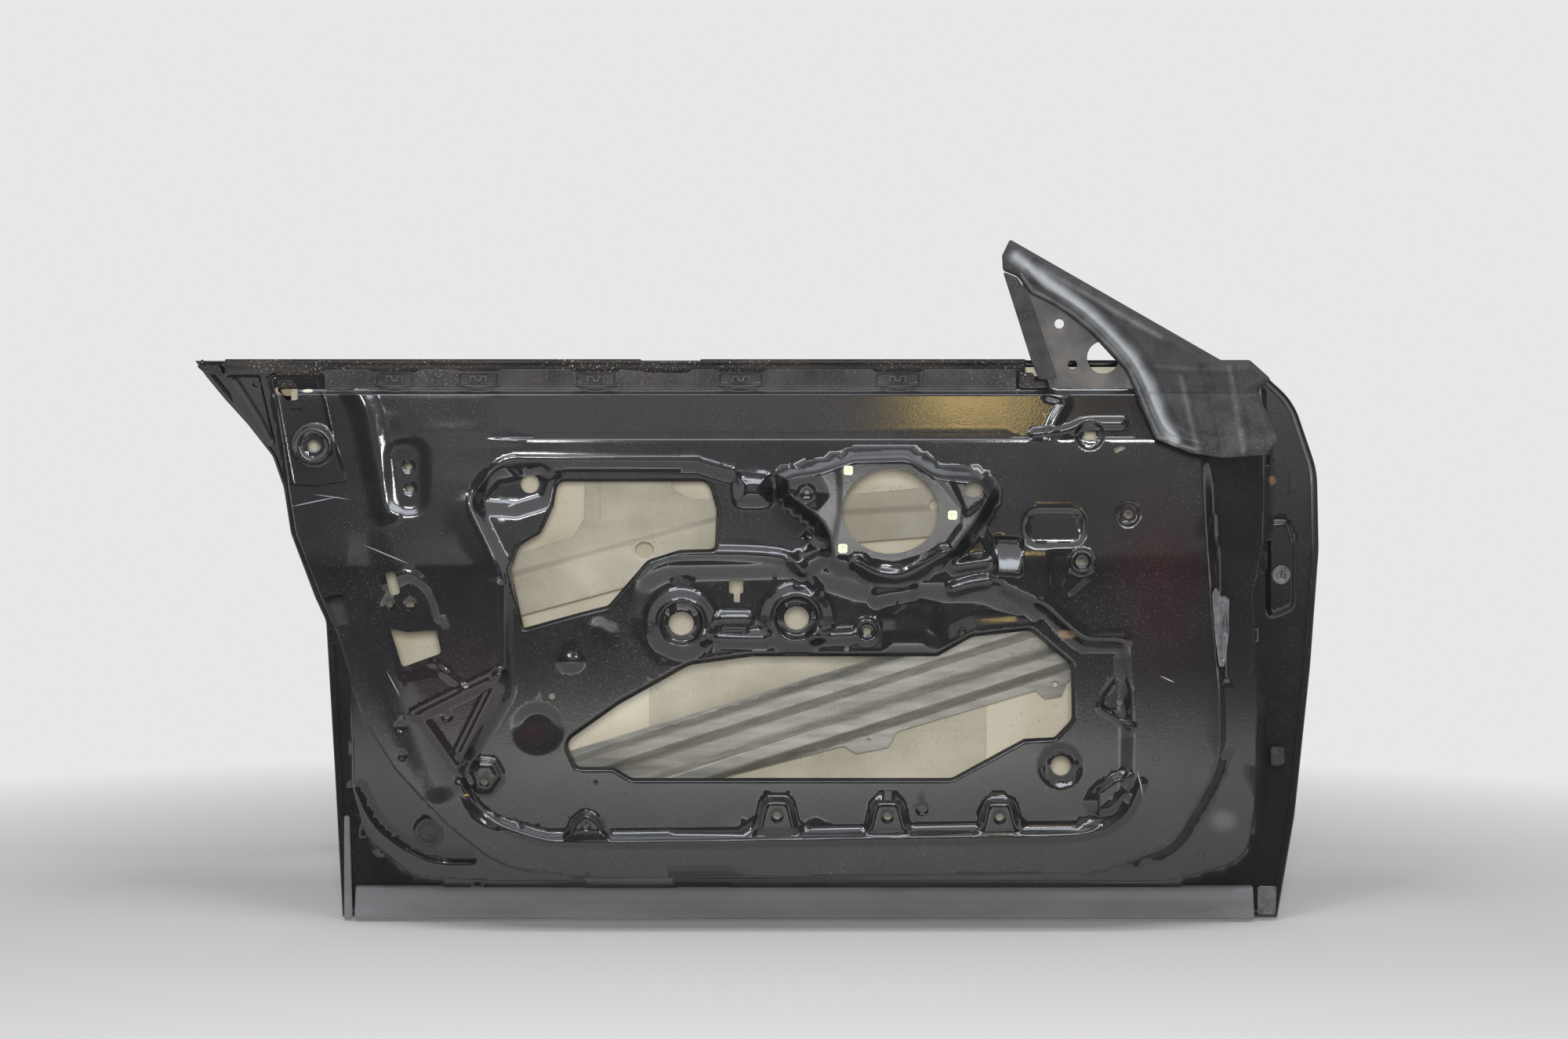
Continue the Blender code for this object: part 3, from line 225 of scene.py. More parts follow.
def within(outline: Array, reach: float, u: Array, v: Array) -> Array:
    """Numbers of the places in a line's bounding box grown by reach. The places come sorted by v.

    Args: outline: points. reach: pixels. u, v: pixels.
    Returns: the numbers.
    """
    low, high = outline.min(axis=0) - reach, outline.max(axis=0) + reach
    first, last = np.searchsorted(v, (low[1], high[1]))
    return first + np.flatnonzero((u[first:last] > low[0]) & (u[first:last] < high[0]))


@dataclass(frozen=True)
class Press:
    """A shape pressed into a sheet: outline, width of slope, sink, and lean in metres a pixel."""

    outline: Array
    slope: float
    sink: float
    level: float | None = None
    lean: float = 0.0

    def add(self, u: Array, v: Array, depth: Array) -> Array:
        """The depth with this shape pressed into it. A level replaces what is there.

        Args: u, v: pixels. depth: metres for each.
        Returns: the new depth.
        """
        chosen = within(self.outline, 0, u, v)
        if not len(chosen):
            return depth
        share = smooth(-off_edge(self.outline, u[chosen], v[chosen], self.slope + 1) / self.slope)
        depth = np.array(depth)
        goal = self.sink if self.level is None else self.level + self.sink - depth[chosen]
        goal = goal + self.lean * (v[chosen] - self.outline[:, 1].mean())
        depth[chosen] += goal * share
        return depth


@dataclass(frozen=True)
class Bead:
    """A round ridge along a line: half its width and its rise in metres, negative for a groove."""

    line: Sequence[tuple[float, float]]
    half: float
    rise: float

    def add(self, u: Array, v: Array, depth: Array) -> Array:
        """The depth with this ridge on it.

        Args: u, v: pixels. depth: metres for each.
        Returns: the new depth.
        """
        line = softened(self.line)
        chosen = within(line, self.half, u, v)
        depth = np.array(depth)
        gap = off_line(line, u[chosen], v[chosen], self.half + 1)
        depth[chosen] -= self.rise * smooth(1 - gap / self.half)
        return depth


def at(depth: float) -> Field:
    """A depth that is the same everywhere."""
    return lambda u, v: np.full(np.shape(u), depth)


def above(surface: Field, height: float) -> Field:
    """A depth nearer than a surface by a height."""
    return lambda u, v: surface(u, v) - height


def eased(surface: Field, outline: Array, radius: float, drop: float) -> Field:
    """A surface whose edge is rounded over: radius in pixels, drop in metres."""
    def near(u: Array, v: Array) -> Array:
        """The rounded surface."""
        inside = np.clip(-off_edge(outline, u, v, radius + 1) / radius, 0, 1)
        return surface(u, v) + drop * (1 - np.sqrt(1 - (1 - inside) ** 2))
    return near


def finished_mesh(name: str, points: Array, faces: list, normals: Array | None,
                  finish: bpy.types.Material) -> bpy.types.Object:
    """Object made from points and faces.

    Args: normals: one row for each face corner, or None for smooth shading.
    Returns: the object, linked to the scene.
    """
    mesh = bpy.data.meshes.new(name)
    mesh.from_pydata(points.tolist(), [], faces)
    mesh.shade_smooth()
    if normals is not None:
        mesh.normals_split_custom_set(normals.tolist())
    mesh.materials.append(finish)
    piece = bpy.data.objects.new(name, mesh)
    bpy.context.scene.collection.objects.link(piece)
    return piece


@dataclass
class Relief:
    """A closed sheet between a near and a far surface, with fine faces only where the near one bends."""

    name: str
    outline: Array
    near: Field
    far: Field
    holes: Sequence[Array] = ()
    loops: Sequence[Array] = ()
    rows: Sequence[Array] = ()
    step: float = 1.5
    coarse: int = 8
    bend: float = 0.09
    edge: float = 4.0
    wear: Field | None = None

    def grid(self) -> tuple[Array, Array]:
        """Free places of the near side and of the plainer far side.

        Returns: one array of pixels for each side.
        """
        low, high = self.outline.min(axis=0), self.outline.max(axis=0)
        cells = np.maximum(np.ceil((high - low) / (self.step * self.coarse)).astype(int), 1)
        counts = cells * self.coarse + 1
        start = (low + high) / 2 - (counts - 1) * self.step / 2
        us, vs = (start[axis] + np.arange(counts[axis]) * self.step for axis in (0, 1))
        u, v = (item.ravel() for item in np.meshgrid(us, vs))
        depth = np.broadcast_to(self.near(u, v), u.shape).reshape(len(vs), len(us)) / PIXEL
        slopes = np.gradient(depth, self.step)
        chosen = np.zeros(depth.shape, bool)
        active = np.ones((cells[1], cells[0]), bool)
        size, plain = self.coarse, None
        while True:
            rows, columns = np.nonzero(active)
            for row, column in ((0, 0), (0, 1), (1, 0), (1, 1)):
                chosen[(rows + row) * size, (columns + column) * size] = True
            if size >= 4:
                plain = chosen.copy()
            if size == 1:
                break
            change = np.zeros(active.shape)
            for slope in slopes:
                block = slope[:-1, :-1].reshape(active.shape[0], size, active.shape[1], size)
                change += np.ptp(block, axis=(1, 3))
            active &= change > self.bend
            active = active.repeat(2, axis=0).repeat(2, axis=1)
            size //= 2
        taken = np.zeros(depth.shape, bool)
        for loop in (self.outline, *self.holes, *self.loops, *self.rows):
            spots = np.rint((divided(loop, self.step * 0.6) - start) / self.step).astype(int)
            taken[np.clip(spots[:, 1], 0, len(vs) - 1), np.clip(spots[:, 0], 0, len(us) - 1)] = True
        free = ~taken.ravel()
        return tuple(np.stack([u[mask.ravel() & free], v[mask.ravel() & free]], axis=1)
                     for mask in (chosen, plain))

    def clear(self, loop: Array) -> Array:
        """Which of the loop's points lie in the sheet, away from its edges.

        Args: loop: points.
        Returns: true or false for each.
        """
        gap = sampled(lambda u, v: off_edge(self.outline, u, v, 3), *loop.T)
        for hole in self.holes:
            gap = np.maximum(gap, -sampled(lambda u, v: off_edge(hole, u, v, 3), *loop.T))
        return gap < -1.2

    def filled(self, free: Array, rings: list[Array],
               lines: Sequence[tuple[Array, Array]] = ()) -> tuple[Array, Array, Array]:
        """Places and triangles of one side, and the index of each ring point among the places.

        Args: free: loose points. rings: its edges. lines: loops that edges follow, and which points are kept.
        """
        points = [Vector(point) for ring in rings for point in ring]
        edges, first = [], 0
        for ring in rings:
            edges += [(first + index, first + (index + 1) % len(ring)) for index in range(len(ring))]
            first += len(ring)
        for loop, kept in lines:
            numbers = first + np.cumsum(kept) - 1
            edges += [(int(numbers[index - 1]), int(numbers[index])) for index in range(len(loop))
                      if kept[index - 1] and kept[index]]
            points += [Vector(point) for point in loop[kept]]
            first += int(kept.sum())
        points += [Vector(point) for point in free]
        places, _, faces, sources, *_ = delaunay_2d_cdt(points, edges, [], 1, 0.001)
        places, faces = np.array([tuple(item) for item in places]), np.array(faces)
        where = np.zeros(len(points), int)
        for new, old in enumerate(sources):
            where[list(old)] = new
        middle = places[faces].mean(axis=1)
        order = np.argsort(middle[:, 1], kind="stable")
        faces, middle = faces[order], middle[order]
        keep = off_edge(self.outline, *middle.T, reach=0.1) < 0
        for hole in self.holes:
            keep &= off_edge(hole, *middle.T, reach=0.1) > 0
        faces = faces[keep]
        a, b, c = (places[faces[:, corner]] for corner in range(3))
        flip = (b[:, 0] - a[:, 0]) * (c[:, 1] - a[:, 1]) > (b[:, 1] - a[:, 1]) * (c[:, 0] - a[:, 0])
        faces[flip] = faces[flip][:, ::-1]
        return places, faces, where

    @staticmethod
    def shaded(form: Field, u: Array, v: Array, step: float) -> tuple[Array, Array]:
        """World places of a surface and its normals towards the viewer.

        Args: form: the surface. u, v: pixels. step: pixels to its neighbours.
        Returns: places, normals.
        """
        middle = place(u, v, sampled(form, u, v))
        across = (place(u + step, v, sampled(form, u + step, v))
                  - place(u - step, v, sampled(form, u - step, v)))
        down = (place(u, v + step, sampled(form, u, v + step))
                - place(u, v - step, sampled(form, u, v - step)))
        normal = np.cross(across, down)
        normal /= np.maximum(np.linalg.norm(normal, axis=1), 1e-12)[:, None]
        return middle, np.where(normal[:, 1:2] > 0, -normal, normal)

    def build(self, finish: bpy.types.Material) -> bpy.types.Object:
        """Makes the sheet with the normals of its two surfaces.

        Returns: the object.
        """
        rings = [divided(loop, self.edge) for loop in (self.outline, *self.holes)]
        fine, plain = self.grid()
        lines = [(loop, self.clear(loop)) for loop in (divided(loop, 3.0) for loop in self.loops)]
        for loop in (divided(row, 2.8) for row in self.rows):
            fine = np.concatenate([fine, loop[self.clear(loop)]])
        sides = []
        for form, free, kept in ((self.near, fine, lines), (self.far, plain, ())):
            places, faces, where = self.filled(free, rings, kept)
            points, normals = self.shaded(form, places[:, 0], places[:, 1], self.step / 2)
            sides.append((points, faces, normals, where, places))
        (near_points, near_faces, near_normals, near_where, near_places), far_side = sides[0], sides[1]
        far_points, far_faces, far_normals, far_where, _ = far_side
        offset = len(near_points)
        points = np.concatenate([near_points, far_points])
        faces = near_faces.tolist() + (far_faces[:, ::-1] + offset).tolist()
        normals = [near_normals[near_faces].reshape(-1, 3), -far_normals[far_faces[:, ::-1]].reshape(-1, 3)]
        first = 0
        for number, ring in enumerate(rings):
            index = np.arange(first, first + len(ring))
            after = np.roll(index, -1)
            turned = np.roll(ring, -1, axis=0)
            clockwise = np.sum(ring[:, 0] * turned[:, 1] - turned[:, 0] * ring[:, 1]) > 0
            if clockwise == (number == 0):
                index, after = after, index
            wall = np.stack([near_where[after], near_where[index], far_where[index] + offset,
                             far_where[after] + offset], axis=1)
            faces += wall.tolist()
            corner = points[wall]
            flat = np.cross(corner[:, 1] - corner[:, 0], corner[:, 3] - corner[:, 0])
            flat /= np.maximum(np.linalg.norm(flat, axis=1), 1e-12)[:, None]
            normals.append(np.repeat(flat, 4, axis=0))
            first += len(ring)
        used = np.unique(np.concatenate([np.array(face) for face in faces]))
        renumbered = np.zeros(len(points), int)
        renumbered[used] = np.arange(len(used))
        faces = [renumbered[face].tolist() for face in faces]
        piece = finished_mesh(self.name, points[used], faces, np.concatenate(normals), finish)
        if self.wear is not None:
            values = np.zeros(len(points))
            values[:offset] = sampled(self.wear, near_places[:, 0], near_places[:, 1])
            layer = piece.data.attributes.new("wear", "FLOAT", "POINT")
            layer.data.foreach_set("value", values[used].astype(np.float32))
        return piece


# Outlines of the sheet pieces, corners as (u, v, radius)
BORDER = divided(rounded((
    (344, 479, 4), (361, 572, 30), (369, 630, 20), (378, 680, 40), (409, 760, 60), (431, 832, 90),
    (467, 921, 90), (504, 980, 110), (568, 1049, 120), (640, 1106, 130), (760, 1120, 60),
    (1400, 1113, 60), (1496, 1075, 60), (1554, 975, 120), (1553, 880, 60), (1544, 777, 60),
    (1529, 560, 30), (1524, 479, 4))), 12)
JAMB = divided(rounded((
    (345, 477, 4), (362, 572, 30), (370, 630, 20), (378, 680, 40), (409, 760, 60), (432, 812, 30),
    (448, 866, 60), (451, 1003, 50), (470, 1070, 60), (530, 1118, 60), (640, 1124, 60),
    (1489, 1124, 60), (1590, 1096, 60), (1600, 1030, 60), (1604, 905, 20), (1600, 835, 20),
    (1598, 755, 30), (1611, 690, 30), (1613, 580, 30), (1606, 477, 4))), 12)
SKIN = divided(rounded((
    (249, 460, 0), (263, 480, 0), (286, 508, 30), (316, 541, 60), (348, 582, 30), (362, 622, 30),
    (371, 680, 40), (402, 762, 40), (416, 792, 30), (427, 980, 200), (437, 1169, 0), (1629, 1170, 0),
    (1651, 1041, 200), (1671, 850, 200), (1682, 700, 150), (1680, 600, 120), (1650, 512, 90),
    (1604, 470, 30), (1560, 459, 0))), 12)
FLANGE = divided(rounded((
    (337, 478, 2), (356, 573, 30), (364, 622, 30), (372.5, 680, 40), (403.5, 762, 40),
    (418, 793, 30), (429, 980, 200), (438.5, 1150, 4), (1630, 1150, 4), (1649, 1041, 200),
    (1669, 850, 200), (1680, 700, 150), (1678, 600, 120), (1642, 517, 90), (1607, 489, 10),
    (1590, 480, 2))), 12)
UPPER_OPENING = rounded((
    (712, 614, 12), (904, 614, 16), (914, 650, 10), (912, 700, 8), (868, 701, 12), (826, 714, 20),
    (776, 772, 10), (740, 781, 10), (668, 801, 3), (652, 726, 10), (662, 696, 14), (690, 680, 6),
    (706, 646, 20)))
LOWER_OPENING = rounded((
    (722, 946, 14), (736, 978, 10), (782, 978, 10), (806, 992, 10), (1214, 992, 14), (1306, 942, 10),
    (1345, 940, 8), (1367, 917, 12), (1366, 848, 6), (1314, 804, 12), (1240, 812, 16), (1196, 837, 12),
    (960, 837, 40), (880, 848, 40), (790, 898, 20)))
LIP_WINDOW = rounded((
    (352, 484, 2), (374, 484, 4), (380, 496, 4), (380, 510, 3), (366, 511, 3), (354, 498, 3)))
SPEAKER_SEAT = rounded((
    (1062, 586, 12), (1100, 580, 30), (1165, 580, 40), (1205, 612, 30), (1234, 648, 12), (1230, 672, 12),
    (1204, 708, 30), (1140, 726, 40), (1095, 718, 12), (1062, 716, 10), (1058, 690, 12), (1066, 652, 60),
    (1066, 620, 20)))
MODULE = rounded((
    (576, 990, 20), (600, 1050, 60), (700, 1078, 50), (760, 1078, 40), (1243, 1068, 60), (1390, 1066, 40),
    (1446, 1020, 36), (1448, 940, 30), (1442, 812, 26), (1380, 812, 20), (1340, 770, 30),
    (1280, 742, 20), (1272, 690, 12), (1240, 640, 30), (1190, 596, 30), (1130, 596, 40), (1000, 606, 20),
    (930, 598, 20), (890, 586, 30), (640, 584, 40), (594, 640, 30), (640, 735, 20), (640, 880, 20),
    (594, 955, 20)))


@dataclass
class Shell:
    """Depths that the pieces share: the bowed skin, its folded lip and the inner panel's faces."""

    inner_sheet: float = 0.0012
    outer_sheet: float = 0.0010
    hem: float = 0.0006
    belt: float = 0.118
    middle: float = 0.146
    sill: float = 0.116
    sag: float = 0.012
    waist: float = 0.084
    band_top: float = 0.0702
    band_foot: float = 0.0562
    line_foot: float = 0.0534
    unfolded_foot: float = 0.0335
    jamb: float = 0.050
    hemmed_opening: float = 0.008

    def __post_init__(self) -> None:
        """Rounds the folds of the inner face once."""
        band, foot = 502.5, 620
        rows = (470, 498, band, 558, 560.5, 720, 1152)
        depths = (self.waist, self.waist, self.band_top, self.band_foot, self.line_foot, 0, 0)
        self.rows = np.arange(440, 1200, 0.5)
        raw = np.interp(self.rows, rows, depths)
        crisp, soft = averaged(raw, 7), averaged(raw, 121)
        self.profile = crisp + (soft - crisp) * smooth((self.rows - 600) / 60)
        # What takes the bright line out of the profile at the rear, where the band runs into the slope
        straight = np.interp(self.rows, (band, foot), (self.band_top, self.unfolded_foot)) - self.profile
        self.unfolded = straight * smooth((self.rows - band - 0.5) / 5) * smooth((foot - self.rows) / 20)
        self.presses = self.pressed()

    def skin(self, u: Array, v: Array) -> Array:
        """Depth of the skin's outer face.

        Args: u, v: pixels.
        Returns: metres for each.
        """
        share = (v - 460) / 709
        bow = (self.belt * (1 - share) * (1 - 2 * share) + self.middle * 4 * share * (1 - share)
               + self.sill * share * (2 * share - 1))
        return bow - self.sag * ((u - 960) / 711) ** 2

    def lip(self, u: Array, v: Array) -> Array:
        """Depth of the folded lip's inner face."""
        return self.skin(u, v) - 2 * self.outer_sheet - self.inner_sheet - 2 * self.hem

    def face(self, v: Array) -> Array:
        """Depth of the plain inner face."""
        return np.interp(v, self.rows, self.profile)

    def pressed(self) -> list[Press | Bead]:
        """The shapes formed in the inner panel, in the order in which they add up.

        Returns: the shapes.
        """
        module_edge = (*map(tuple, MODULE[(MODULE[:, 1] < 760) & (MODULE[:, 0] < 990)]),)
        shapes: list[Press | Bead] = [
            Press(MODULE, 20, 0.012),
            Press(rounded(((846, 716, 40), (1010, 712, 80), (1100, 742, 80), (1262, 742, 80),
                           (1344, 792, 50), (1300, 803, 30), (1240, 808, 40), (1190, 832, 30), (960, 832, 40),
                           (836, 852, 30), (800, 800, 40), (808, 736, 40))), 28, 0.006),
            Press(rounded(((985, 601, 10), (1006, 592, 14), (1036, 587, 20), (1085, 570, 40),
                           (1165, 568, 50), (1200, 592, 20), (1257, 598, 24), (1283, 630, 26),
                           (1256, 680, 30), (1218, 726, 44), (1135, 750, 60), (1052, 732, 30),
                           (1040, 678, 60), (990, 642, 30))),
                  21, -0.006, 0.0, 1e-4),
            Press(SPEAKER_SEAT, 10, 0.0012),
            Press(rounded(((984, 612, 10), (1046, 598, 18), (1062, 630, 14), (1044, 652, 14),
                           (1010, 650, 12))), 20, 0.005),
            Press(ellipse(1029, 629, 14, 14), 5, -0.0024),
            Press(ellipse(1029, 629, 7, 7), 3, 0.0018),
            Press(rounded(((1206, 604, 10), (1256, 606, 12), (1270, 626, 12), (1258, 644, 12),
                           (1230, 664, 10))), 9, 0.0022),
            Press(rounded(((994, 714, 10), (1052, 680, 10), (1068, 716, 10), (1020, 746, 10))),
                  17, -0.003, 0.007, 4e-5),
            Press(rounded(((1112, 776, 30), (1150, 748, 30), (1208, 768, 30), (1216, 816, 24),
                           (1184, 838, 20), (1122, 838, 20))), 30, -0.007),
            Press(rounded(((590, 628, 30), (616, 592, 30), (690, 586, 24), (722, 604, 16), (706, 650, 24),
                           (660, 664, 30), (608, 660, 26))), 26, 0.010),
            Press(rounded(((930, 596, 20), (990, 596, 20), (990, 652, 20), (930, 652, 20))),
                  24, -0.002, 0.031, -1.8e-4),
            Press(box(486, 551, 554, 662, 31), 17, 0.0028),
            Press(box(1302, 1388, 646, 701, 25), 11, 0.006),
            Press(rounded(((482, 772, 14), (500, 740, 18), (527, 728, 18), (556, 750, 18), (576, 800, 16),
                           (578, 858, 14), (508, 872, 14))), 13, 0.0025),
            Press(ellipse(686, 930, 36, 36), 17, 0.0024, lean=-6e-5),
            Press(rounded(((1402, 884, 5), (1432, 848, 7), (1446, 880, 6), (1446, 928, 6),
                           (1402, 906, 5))), 11, 0.006),
            Press(rounded(((1392, 1004, 16), (1420, 984, 14), (1448, 980, 10), (1444, 1018, 16),
                           (1420, 1040, 16), (1393, 1048, 12))), 13, -0.011),
            Press(rounded(((592, 980, 16), (606, 962, 14), (634, 964, 14), (648, 990, 16), (628, 1018, 16),
                           (600, 1014, 14))), 15, -0.010),
            Press(rounded(((712, 1074, 8), (728, 1042, 16), (748, 1028, 16), (768, 1042, 16),
                           (784, 1074, 8))), 12, -0.010),
            Press(rounded(((1266, 682, 5), (1308, 684, 5), (1306, 736, 5), (1268, 734, 5))),
                  6, 0.0, lean=-4.6e-4),
            Press(rounded(((1334, 698, 12), (1392, 694, 18), (1398, 738, 16), (1366, 766, 14),
                           (1332, 756, 12))), 13, 0.003),
            Bead(((598, 656), (634, 712)), 34, 0.0018)]
        for u, v in ((869, 795), (1016, 788)):
            shapes += [Press(ellipse(u, v, 52, 50), 24, -0.014), Press(ellipse(u, v, 31, 31), 10, 0.009),
                       Press(ellipse(u, v, 21, 20), 3, -0.001)]
        for u, v in ((991, 1040), (1132, 1041), (1275, 1042)):
            shapes.append(Press(rounded(((u - 36, v + 31, 3), (u - 22, v - 28, 20), (u + 22, v - 28, 20),
                                         (u + 36, v + 31, 3))), 15, 0.0005, 0.0))
            shapes.append(Press(ellipse(u, v, 9, 9), 3, 0.001))
        for u, v, radius, slope, sink in (
                (1353, 976.5, 30, 10, 0.005), (1353, 976.5, 18, 4, -0.0015), (1439, 656, 17, 6, 0.005),
                (1106, 805, 21, 8, -0.006), (1106, 805, 12, 4, 0.004), (1390, 555, 20, 6, 0.005),
                (1380, 716, 19, 7, -0.007), (1380, 716, 12, 4, 0.005), (1176, 1031, 9, 3, 0.0015),
                (1029, 683, 6, 5, 0.0014), (521, 595, 9, 3, 0.0012), (523, 623, 9, 3, 0.0012),
                (570, 913, 8, 4, 0.0014), (511, 927, 9, 6, 0.0022), (513, 963, 7, 5, 0.0018),
                (1106, 805, 6, 2, 0.002), (988, 735, 4, 3, 0.001), (497, 771, 8, 3, 0.001),
                (523, 771, 9, 3, 0.001), (400, 568, 22, 8, 0.003), (1227, 807, 6, 3, 0.001),
                (1080, 828, 6, 3, 0.001), (618, 997, 8, 3, 0.0015), (747, 1053, 7, 3, 0.0015)):
            shapes.append(Press(ellipse(u, v, radius, radius), slope, sink))
        shapes += [
            Bead(((454, 498), (468, 524), (478, 580), (494, 650)), 24, 0.005),
            Bead(((466, 520), (510, 541), (660, 560)), 14, 0.0004),
            Bead(((532, 912), (580, 888), (634, 862)), 12, 0.006),
            Bead(((638, 860), (614, 908), (588, 960)), 12, 0.006),
            Bead(((540, 918), (560, 946), (582, 978)), 10, 0.003),
            Bead(((553, 846), (590, 876)), 8, 0.002),
            Bead(((494, 745), (503, 736), (517, 731), (535, 737), (552, 756), (560, 786)), 9, 0.0024),
            Bead(module_edge, 7, 0.0011),
            Bead(((808, 730), (832, 711), (862, 704), (1000, 706), (1020, 724), (1044, 752)), 12, 0.004),
            Bead(((922, 790), (952, 790)), 15, 0.008),
            Bead(((900, 814), (976, 814)), 15, 0.009),
            Bead(((1040, 812), (1084, 810)), 14, 0.009),
            Bead(((1094, 718), (1116, 734), (1150, 738), (1176, 726), (1204, 706)), 14, 0.010),
            Bead(((1216, 752), (1240, 744), (1268, 740)), 14, 0.008),
            Bead(((1218, 722), (1256, 716)), 13, 0.008),
            Bead(((1120, 762), (1160, 754)), 16, 0.006),
            Bead(((1404, 902), (1444, 928)), 7, 0.002),
            Press(ellipse(728, 844, 20, 16), 15, -0.005),
            Bead(((764, 800), (778, 808)), 16, -0.001),
            Bead(((632, 736), (635, 800), (636, 846), (640, 882)), 14, 0.003),
            Bead(((588, 1000), (612, 1036), (660, 1062), (720, 1076), (1243, 1069), (1390, 1067),
                  (1436, 1044), (1456, 1000)), 9, 0.003),
            Bead(((1338, 503), (1362, 510), (1348, 532), (1340, 552)), 12, 0.004),
            Bead(((1320, 554), (1362, 550), (1381, 540), (1430, 540)), 10, 0.005),
            Bead(((1330, 770), (1376, 806), (1392, 816), (1434, 816)), 12, 0.003),
            Bead(((470, 700), (478, 760), (500, 880), (560, 1000)), 30, -0.0015)]
        return shapes

    def panel(self, u: Array, v: Array) -> Array:
        """Depth of the inner panel's near side.

        Args: u, v: pixels.
        Returns: metres for each.
        """
        from_border = off_edge(BORDER, u, v, 90)
        from_jamb = off_edge(JAMB, u, v, 90)
        room = from_border - from_jamb
        first, second = self.walls(room, u)
        face = self.face(v)
        depth = face + np.interp(v, self.rows, self.unfolded) * smooth((690 - u) / 90)
        for shape in self.presses:
            depth = shape.add(u, v, depth)
        depth = depth + np.maximum(self.jamb - face, 0) * smooth(from_border / first)
        flange = self.skin(u, v) - self.outer_sheet - self.hem - self.inner_sheet
        depth = depth + (flange - depth) * smooth(from_jamb / second)
        depth = Press(rounded(((1614, 662, 14), (1646, 662, 12), (1654, 690, 16), (1653, 776, 16),
                               (1614, 794, 14))), 8, -0.008).add(u, v, depth)
        depth = Press(ellipse(547, 1061, 21, 21), 4, -0.0015).add(u, v, depth)
        depth = Bead(((461, 1003), (476, 1039), (500, 1064), (533, 1084), (560, 1094), (601, 1094)), 9,
                     -0.004).add(u, v, depth)
        for opening in (UPPER_OPENING, LOWER_OPENING):
            near_edge = np.clip(1 - off_edge(opening, u, v, 8) / 5.5, 0, 1)
            depth = depth + self.hemmed_opening * near_edge ** 1.6
        return depth

    @staticmethod
    def walls(room: Array, u: Array) -> tuple[Array, Array]:
        """Widths of the slopes outside the border and outside the jamb."""
        return (np.maximum(np.minimum(0.35 * room, np.interp(u, (600, 1400), (3, 16))), 1.2),
                np.clip(0.35 * room, 1.2, 5))

    def bends(self) -> list[Array]:
        """Crests, middles and feet of the border's and the jamb's slopes.

        Returns: the lines.
        """
        first = self.walls(-sampled(lambda u, v: off_edge(JAMB, u, v, 90), *BORDER.T), BORDER[:, 0])[0]
        second = self.walls(sampled(lambda u, v: off_edge(BORDER, u, v, 90), *JAMB.T), JAMB[:, 0])[1]
        return [BORDER, moved(BORDER, first / 2), moved(BORDER, first), JAMB, moved(JAMB, second / 2),
                moved(JAMB, second)]

    def slopes(self) -> list[Array]:
        """Rows along the slopes of the pressed shapes.

        Returns: the lines.
        """
        presses = [shape for shape in self.presses if isinstance(shape, Press) and shape.slope >= 9]
        # Rows on both sides of the bright line under the waist band
        folds = [box(360, 1524, 557.0, 561.4, 1), box(362, 1522, 558.6, 559.8, 0.5)]
        return folds + [moved(shape.outline, -share * shape.slope) for shape in presses
                        for share in (0.04, 0.35, 0.65, 0.96)]


def linear(code: str, alpha: float = 1.0) -> tuple[float, float, float, float]:
    """Linear colour of an sRGB hex value.

    Args: code: a hash and six digits. alpha: kept as it is.
    Returns: red, green, blue, alpha.
    """
    parts = [int(code[index:index + 2], 16) / 255 for index in (1, 3, 5)]
    red, green, blue = (part / 12.92 if part <= 0.04045 else ((part + 0.055) / 1.055) ** 2.4
                        for part in parts)
    return red, green, blue, alpha


def add_node(graph: bpy.types.NodeTree, kind: str, settings: dict | None = None,
             links: dict | None = None) -> bpy.types.Node:
    """Adds a node.

    Args: settings: properties, or values of inputs by name or number. links: sources of inputs.
    Returns: the node.
    """
    node = graph.nodes.new(kind)
    for key, value in (settings or {}).items():
        if isinstance(key, str) and hasattr(node, key):
            setattr(node, key, value)
    for key, value in (settings or {}).items():
        if not (isinstance(key, str) and hasattr(node, key)):
            node.inputs[key].default_value = value
    for key, source in (links or {}).items():
        graph.links.new(source, node.inputs[key])
    return node


@dataclass(frozen=True)
class Patch:
    """An elliptical place with its own colour: pixel centre, radii in pixels, turn in degrees, soft edge."""

    u: float
    v: float
    across: float
    down: float
    colour: str
    turn: float = 0.0
    share: float = 1.0
    soft: float = 0.5
    ragged: float = 0.0


